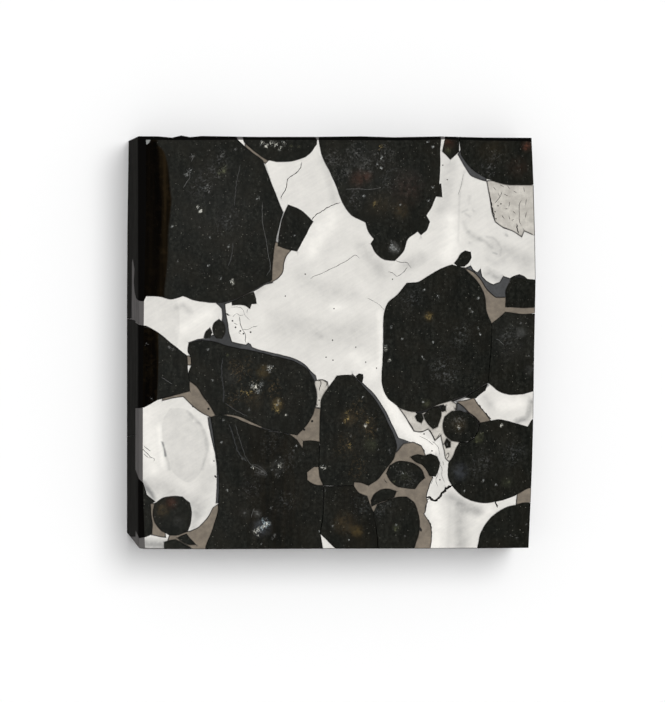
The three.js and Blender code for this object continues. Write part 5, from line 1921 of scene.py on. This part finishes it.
# What shows on the pale schreibersite.
SCHREIBERSITE_MARKS = (
    cracks(
        ((6.15, -6.45), (6.5, -6.8), (6.8, -7.2), (7.3, -7.95), (7.75, -8.55), (7.9, -8.9), (8.6, -9.0),
         (9.1, -8.85), (9.3, -8.7)),
        ((9.45, -8.75), (9.8, -9.4), (10.05, -9.85), (10.4, -9.3), (10.5, -9.15)),
        ((11.1, -11.4), (11.35, -11.1), (11.4, -11.4), (11.2, -11.7)),
        ((-1.8, -3.9), (-1.55, -3.85), (-1.5, -4.2), (-1.65, -4.6), (-1.65, -4.85)),
        ((-1.2, -3.9), (-0.95, -4.0), (-0.9, -4.2), (-1.05, -4.4)),
        width=0.08,
    )
    + cracks(
        ((18.35, 11.85), (18.35, 11.4), (18.5, 10.95)),
        ((15.25, 15.9), (15.6, 14.4), (15.9, 13.0), (16.2, 11.95), (17.4, 11.3), (18.4, 10.85)),
        width=0.15,
    )
    + cracks(
        ((18.8, 14.25), (18.6, 13.9), (18.55, 13.0), (18.6, 12.1), (18.8, 11.7)),
        ((16.8, 12.8), (17.05, 12.4)),
        ((17.1, 13.4), (17.4, 13.4)),
        ((17.8, 12.2), (18.0, 12.35)),
        ((16.1, 14.0), (16.6, 14.6), (16.8, 15.1)),
        ((15.9, 15.6), (16.2, 15.3)),
        ((16.6, 15.8), (17.0, 15.6)),
        ((17.3, 15.8), (17.6, 15.4)),
        ((17.0, 14.9), (17.4, 14.7)),
        ((17.6, 14.1), (17.5, 13.6)),
        ((17.9, 13.2), (18.2, 12.9)),
        ((19.0, 15.6), (19.1, 15.1)),
        ((19.3, 14.4), (19.2, 13.8)),
        ((19.3, 13.1), (19.2, 12.5)),
        ((18.0, 15.2), (18.3, 15.0)),
        ((17.5, 12.7), (17.6, 12.3)),
        ((16.4, 15.0), (16.6, 14.6)),
        width=0.06,
        depth=0.03,
    )
    + (
        Spot(
            ((8.0, -6.95), (8.55, -6.9), (8.9, -6.72), (9.5, -6.55), (10.9, -6.22), (11.03, -6.62),
             (10.84, -7.04), (10.6, -6.9), (10.3, -6.86), (9.65, -6.98), (9.1, -7.0), (8.5, -7.25),
             (8.1, -7.15)),
            Tone.PITCH,
        ),
        Smear(((12.0, -6.6), (12.15, -6.9)), 0.16, 0.9),
    )
    + pits((-1.9, -6.3), (-1.8, -6.55), (-1.7, -5.8), (16.4, 13.7), (16.7, 13.9), (16.1, 13.1), (16.2, 12.4))
)


def anchor_points(mark: Mark) -> np.ndarray:
    """Gives the places of a mark that tell which grain it belongs to."""
    if isinstance(mark, (Pit, Glint, Patch)):
        return np.array([mark.at], float)
    return np.array(mark.outline if isinstance(mark, (Spot, Cloud)) else mark.path, float)


@dataclass
class GrainFamily:
    """All the grains of one mineral.

    Attributes:
        prefix: start of the names of its nodes.
        slot: material slot of the record that its nodes use; not used.
        finish: finish of its polished faces.
        side: finish of its sawn sides.
        marks: what shows on its grains, each at its own place.
        names: endings of the node names, where the family is only some of the prefix's nodes.
        lip: width of the worn lip along a grain's edge, in mm.
        lip_drop: how far the edge lies below the face, in mm.
        grid: spacing of the points inside a face, in mm.
        one_piece: whether the family is one piece, which then has all the marks.
    """

    prefix: str
    slot: str
    finish: Finish
    side: Finish = SAWN_ORE
    marks: tuple[Mark, ...] = ()
    names: tuple[str, ...] = ()
    lip: float = 0.07
    lip_drop: float = 0.012
    grid: float = 0.42
    one_piece: bool = False

    def nodes(self, frame: dict) -> list[bpy.types.Object]:
        """Finds the family's nodes in the frame."""
        wanted = {self.prefix + name for name in self.names}
        return [
            node
            for name, node in sorted(frame["nodes"].items())
            if (name in wanted if wanted else name.startswith(self.prefix))
        ]

    @staticmethod
    def finish_of(tone: Tone | None) -> Finish:
        """Gives the finish of a fleck, or of the filling of cracks."""
        return CRACK_FILLING if tone is None else Fleck(f"fleck_{tone.name.lower()}", tone)

    def dress(self, node: bpy.types.Object, height: float, ripple: Ripple) -> None:
        """Gives one grain its new face and its finishes.

        Args:
            node: the grain's node.
            height: height of the polished face, in mm.
            ripple: wander of the grain edges.
        """
        solid = Solid.of(node)
        top = solid.top_triangles(height)
        if not top.any():
            self.finish_node(node)
            return
        starts, ends = outline_edges(solid.triangles[top], solid.points[:, :2])
        marks = [
            mark
            for mark in self.marks
            if self.one_piece or inside(anchor_points(mark), starts, ends).any()
        ]
        face = PolishedFace(height, ripple, marks, self.grid, self.lip, self.lip_drop)
        mesh, tones = face.mesh_onto(solid, f"{node.name}_dressed")
        mesh.materials.append(self.finish.material())
        mesh.materials.append(self.side.material())
        for tone in tones:
            mesh.materials.append(self.finish_of(tone).material())
        piece = bpy.data.objects.new(f"{node.name}_dressed", mesh)
        bpy.context.collection.objects.link(piece)
        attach(piece, "root")
        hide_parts(node.name)
        LOG.info("%s: %d faces, %d marks", piece.name, len(mesh.polygons), len(marks))

    def finish_node(self, node: bpy.types.Object) -> None:
        """Gives the sawn finish to a node that has no part in the polished face."""
        node.data.materials.clear()
        node.data.materials.append(self.side.material())
        LOG.info("%s: finished as it is", node.name)

    def build(self, frame: dict, height: float, ripple: Ripple) -> None:
        """Dresses every grain of the family."""
        for node in self.nodes(frame):
            self.dress(node, height, ripple)


def outline_edges(triangles: np.ndarray, points: np.ndarray) -> tuple[np.ndarray, np.ndarray]:
    """Gives the edges around a set of triangles.

    Args:
        triangles: (n, 3) corner numbers.
        points: (m, 2) corners.

    Returns:
        Starts and ends of the edges.
    """
    loops = edge_loops(triangles)
    starts = np.vstack([points[loop] for loop in loops])
    ends = np.vstack([np.roll(points[loop], -1, 0) for loop in loops])
    return starts, ends


@dataclass
class MetalMatrix(GrainFamily):
    """Nickel-iron that holds every grain, with its cracks, pits and clouds, and painted reflection and
    shade.
    """

    prefix: str = "metal_matrix"
    slot: str = "nickel_iron"
    finish: Finish = NICKEL_IRON
    side: Finish = SAWN_METAL
    marks: tuple[Mark, ...] = METAL_CRACKS + METAL_PITS + METAL_CLOUDS_STAINS_AND_SHEEN
    lip: float = 0.06
    lip_drop: float = 0.01
    one_piece: bool = True


@dataclass
class OlivineCrystals(GrainFamily):
    """Dark olivine crystals, with painted glints, healed cracks and clouds inside them, and zones painted
    dark.
    """

    prefix: str = "olivine_"
    slot: str = "olivine"
    finish: Finish = OLIVINE
    side: Finish = SAWN_OLIVINE
    marks: tuple[Mark, ...] = PAINTED_DARK_ZONES + UPPER_GLINTS + LOWER_GLINTS + INNER_CRACKS + INNER_PATCHES
    lip: float = 0.06
    lip_drop: float = 0.0
    grid: float = 0.5


@dataclass
class TroiliteGrains(GrainFamily):
    """Bronze-grey troilite in the corners between crystals."""

    prefix: str = "troilite_"
    slot: str = "troilite"
    finish: Finish = TROILITE
    marks: tuple[Mark, ...] = TROILITE_MARKS


@dataclass
class GreySchreibersite(GrainFamily):
    """Dark grey rims and veins of schreibersite."""

    prefix: str = "schreibersite_"
    slot: str = "grey_schreibersite"
    finish: Finish = GREY_SCHREIBERSITE
    marks: tuple[Mark, ...] = (
        Cloud(((-12.4, 4.4), (-9.6, 4.4), (-9.6, -0.4), (-12.4, -0.4)), 0.45, 0.2),
    )
    names: tuple[str, ...] = ("rim_top", "right", "patch", "rim_left", "rim_centre", "vein")


@dataclass
class PaleSchreibersite(GrainFamily):
    """Pale, brittle schreibersite grains, full of cracks."""

    prefix: str = "schreibersite_"
    slot: str = "pale_schreibersite"
    finish: Finish = PALE_SCHREIBERSITE
    marks: tuple[Mark, ...] = SCHREIBERSITE_MARKS
    names: tuple[str, ...] = ("top_right", "lower_right", "wedge_top")
    lip: float = 0.11


@dataclass
class Slice:
    """The whole slice.

    Attributes:
        families: the minerals, in the order in which they are dressed.
    """

    families: tuple[GrainFamily, ...] = field(
        default_factory=lambda: (
            MetalMatrix(),
            OlivineCrystals(),
            TroiliteGrains(),
            GreySchreibersite(),
            PaleSchreibersite(),
        )
    )

    def face_outline(self, frame: dict, height: float) -> np.ndarray:
        """Works out the outline of the whole polished face.

        Args:
            frame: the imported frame.
            height: height of the face, in mm.

        Returns:
            (n, 2) points, the first repeated at the end.
        """
        level = []
        for node in frame["nodes"].values():
            points = Solid.of(node).points
            level.append(points[points[:, 2] > height - LEVEL_SLACK, :2])
        points = np.vstack(level)
        hull = geometry.convex_hull_2d([Vector(point) for point in points])
        return closed([tuple(point) for point in points[hull]])

    def build(self, frame: dict) -> None:
        """Dresses every grain of the slice."""
        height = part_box("metal_matrix")[1].z / MM
        ripple = Ripple(self.face_outline(frame, height))
        for family in self.families:
            family.build(frame, height, ripple)


@dataclass
class Studio:
    """Pale floor, soft light from all round, and the camera.

    Attributes:
        target: what the camera looks at, in mm.
        distance: distance of the camera, in mm.
        tilt: how far the camera leans to the left of straight above, in degrees.
        millimetres_per_pixel: scale of the photograph.
        zenith: brightness of the light from straight above.
        horizon: brightness of the light from the sides.
        gather: how closely the light gathers around straight above.
        dim: brightness of what the polished crystals mirror.
        dim_angle: half the width of that, in degrees.
        dim_edge: width over which that fades out, in degrees.
        key: strength of the key light.
        key_angle: how wide the key light is, in degrees.
        key_lean: lean of the key light towards +X and +Y, in degrees.
        overhead: strength of the light from straight above.
        overhead_angle: how wide that is, in degrees.
        floor_reach: half the width of the floor, in metres.
    """

    target: tuple[float, float, float] = (-0.35, -0.885, 9.0)
    distance: float = 450.0
    tilt: float = 7.0
    millimetres_per_pixel: float = 0.1
    zenith: float = 1.6
    horizon: float = 0.2
    gather: float = 6.0
    dim: float = 0.1
    dim_angle: float = 5.5
    dim_edge: float = 1.0
    key: float = 1.4
    key_angle: float = 28.0
    key_lean: Point = (14.0, 15.0)
    overhead: float = 0.4
    overhead_angle: float = 10.0
    floor_reach: float = 2.0

    def camera(self) -> None:
        """Places the camera almost straight above the slice, with +Y up in the picture."""
        lens = bpy.data.cameras.new("camera")
        lens.sensor_fit = "VERTICAL"
        lens.sensor_height = 36.0
        lens.lens = lens.sensor_height * self.distance / (IMAGE_HEIGHT * self.millimetres_per_pixel)
        lens.clip_start = 0.01
        lean = math.radians(self.tilt)
        back = Vector((-math.sin(lean), 0, math.cos(lean)))
        up = Vector((0, 1, 0))
        camera = bpy.data.objects.new("camera", lens)
        place = (Vector(self.target) + back * self.distance) * MM
        turn = Matrix((up.cross(back), up, back)).transposed().to_4x4()
        camera.matrix_world = Matrix.Translation(place) @ turn
        bpy.context.collection.objects.link(camera)
        bpy.context.scene.camera = camera

    def sky(self) -> None:
        """Surrounds the slice with a soft light, dim where the crystals mirror it."""
        world = bpy.data.worlds.new("soft_surround")
        world.use_nodes = True
        graph = Graph(world.node_tree)
        direction = graph.node("TexCoord").outputs["Generated"]
        height = graph.node("SeparateXYZ", {0: direction}).outputs["Z"]
        share = graph.math("POWER", graph.math("MAXIMUM", height, 0.0), self.gather)
        level = graph.spread(share, 0.0, 1.0, self.horizon, self.zenith)
        lean = math.radians(self.tilt)
        mirrored = (math.sin(lean), 0.0, math.cos(lean))
        dot = graph.node("VectorMath", {0: direction, 1: mirrored}, operation="DOT_PRODUCT")
        outer = math.cos(math.radians(self.dim_angle + self.dim_edge))
        inner = math.cos(math.radians(self.dim_angle))
        dimmed = graph.spread(dot.outputs["Value"], outer, inner)
        strength = graph.math("ADD", level, graph.math("MULTIPLY", dimmed, self.dim - self.zenith))
        light = graph.node("Background", {"Color": (1.0, 1.0, 1.0), "Strength": strength})
        graph.node("OutputWorld", {"Surface": light.outputs[0]})
        bpy.context.scene.world = world

    def lamp(self, name: str, strength: float, angle: float, lean: Point) -> None:
        """Adds a broad distant lamp that isn't mirrored in the slice.

        Args:
            name: its name.
            strength: its strength.
            angle: how wide it is, in degrees.
            lean: its lean towards +X and +Y, in degrees.
        """
        sun = bpy.data.lights.new(name, "SUN")
        sun.energy = strength
        sun.angle = math.radians(angle)
        lamp = bpy.data.objects.new(name, sun)
        east, north = (math.tan(math.radians(part)) for part in lean)
        lamp.rotation_euler = Vector((east, north, 1)).to_track_quat("Z", "Y").to_euler()
        lamp.visible_glossy = False
        bpy.context.collection.objects.link(lamp)

    def floor(self) -> None:
        """Lays a pale floor under the slice."""
        reach = self.floor_reach
        mesh = bpy.data.meshes.new("floor")
        corners = [(-reach, -reach, 0), (reach, -reach, 0), (reach, reach, 0), (-reach, reach, 0)]
        mesh.from_pydata(corners, [], [(0, 1, 2, 3)])
        mesh.materials.append(PaperFloor("paper_floor").material())
        floor = bpy.data.objects.new("floor", mesh)
        bpy.context.collection.objects.link(floor)

    def build(self) -> None:
        """Sets up the whole studio."""
        self.camera()
        self.sky()
        self.lamp("key", self.key, self.key_angle, self.key_lean)
        self.lamp("overhead", self.overhead, self.overhead_angle, (0.0, 0.0))
        self.floor()
        bpy.context.scene.view_settings.view_transform = "Standard"


def main() -> None:
    """Builds the slice in its studio."""
    logging.basicConfig(level=logging.INFO, format="%(name)s: %(message)s")
    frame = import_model()
    Studio().build()
    Slice().build(frame)


if __name__ == "__main__":
    main()
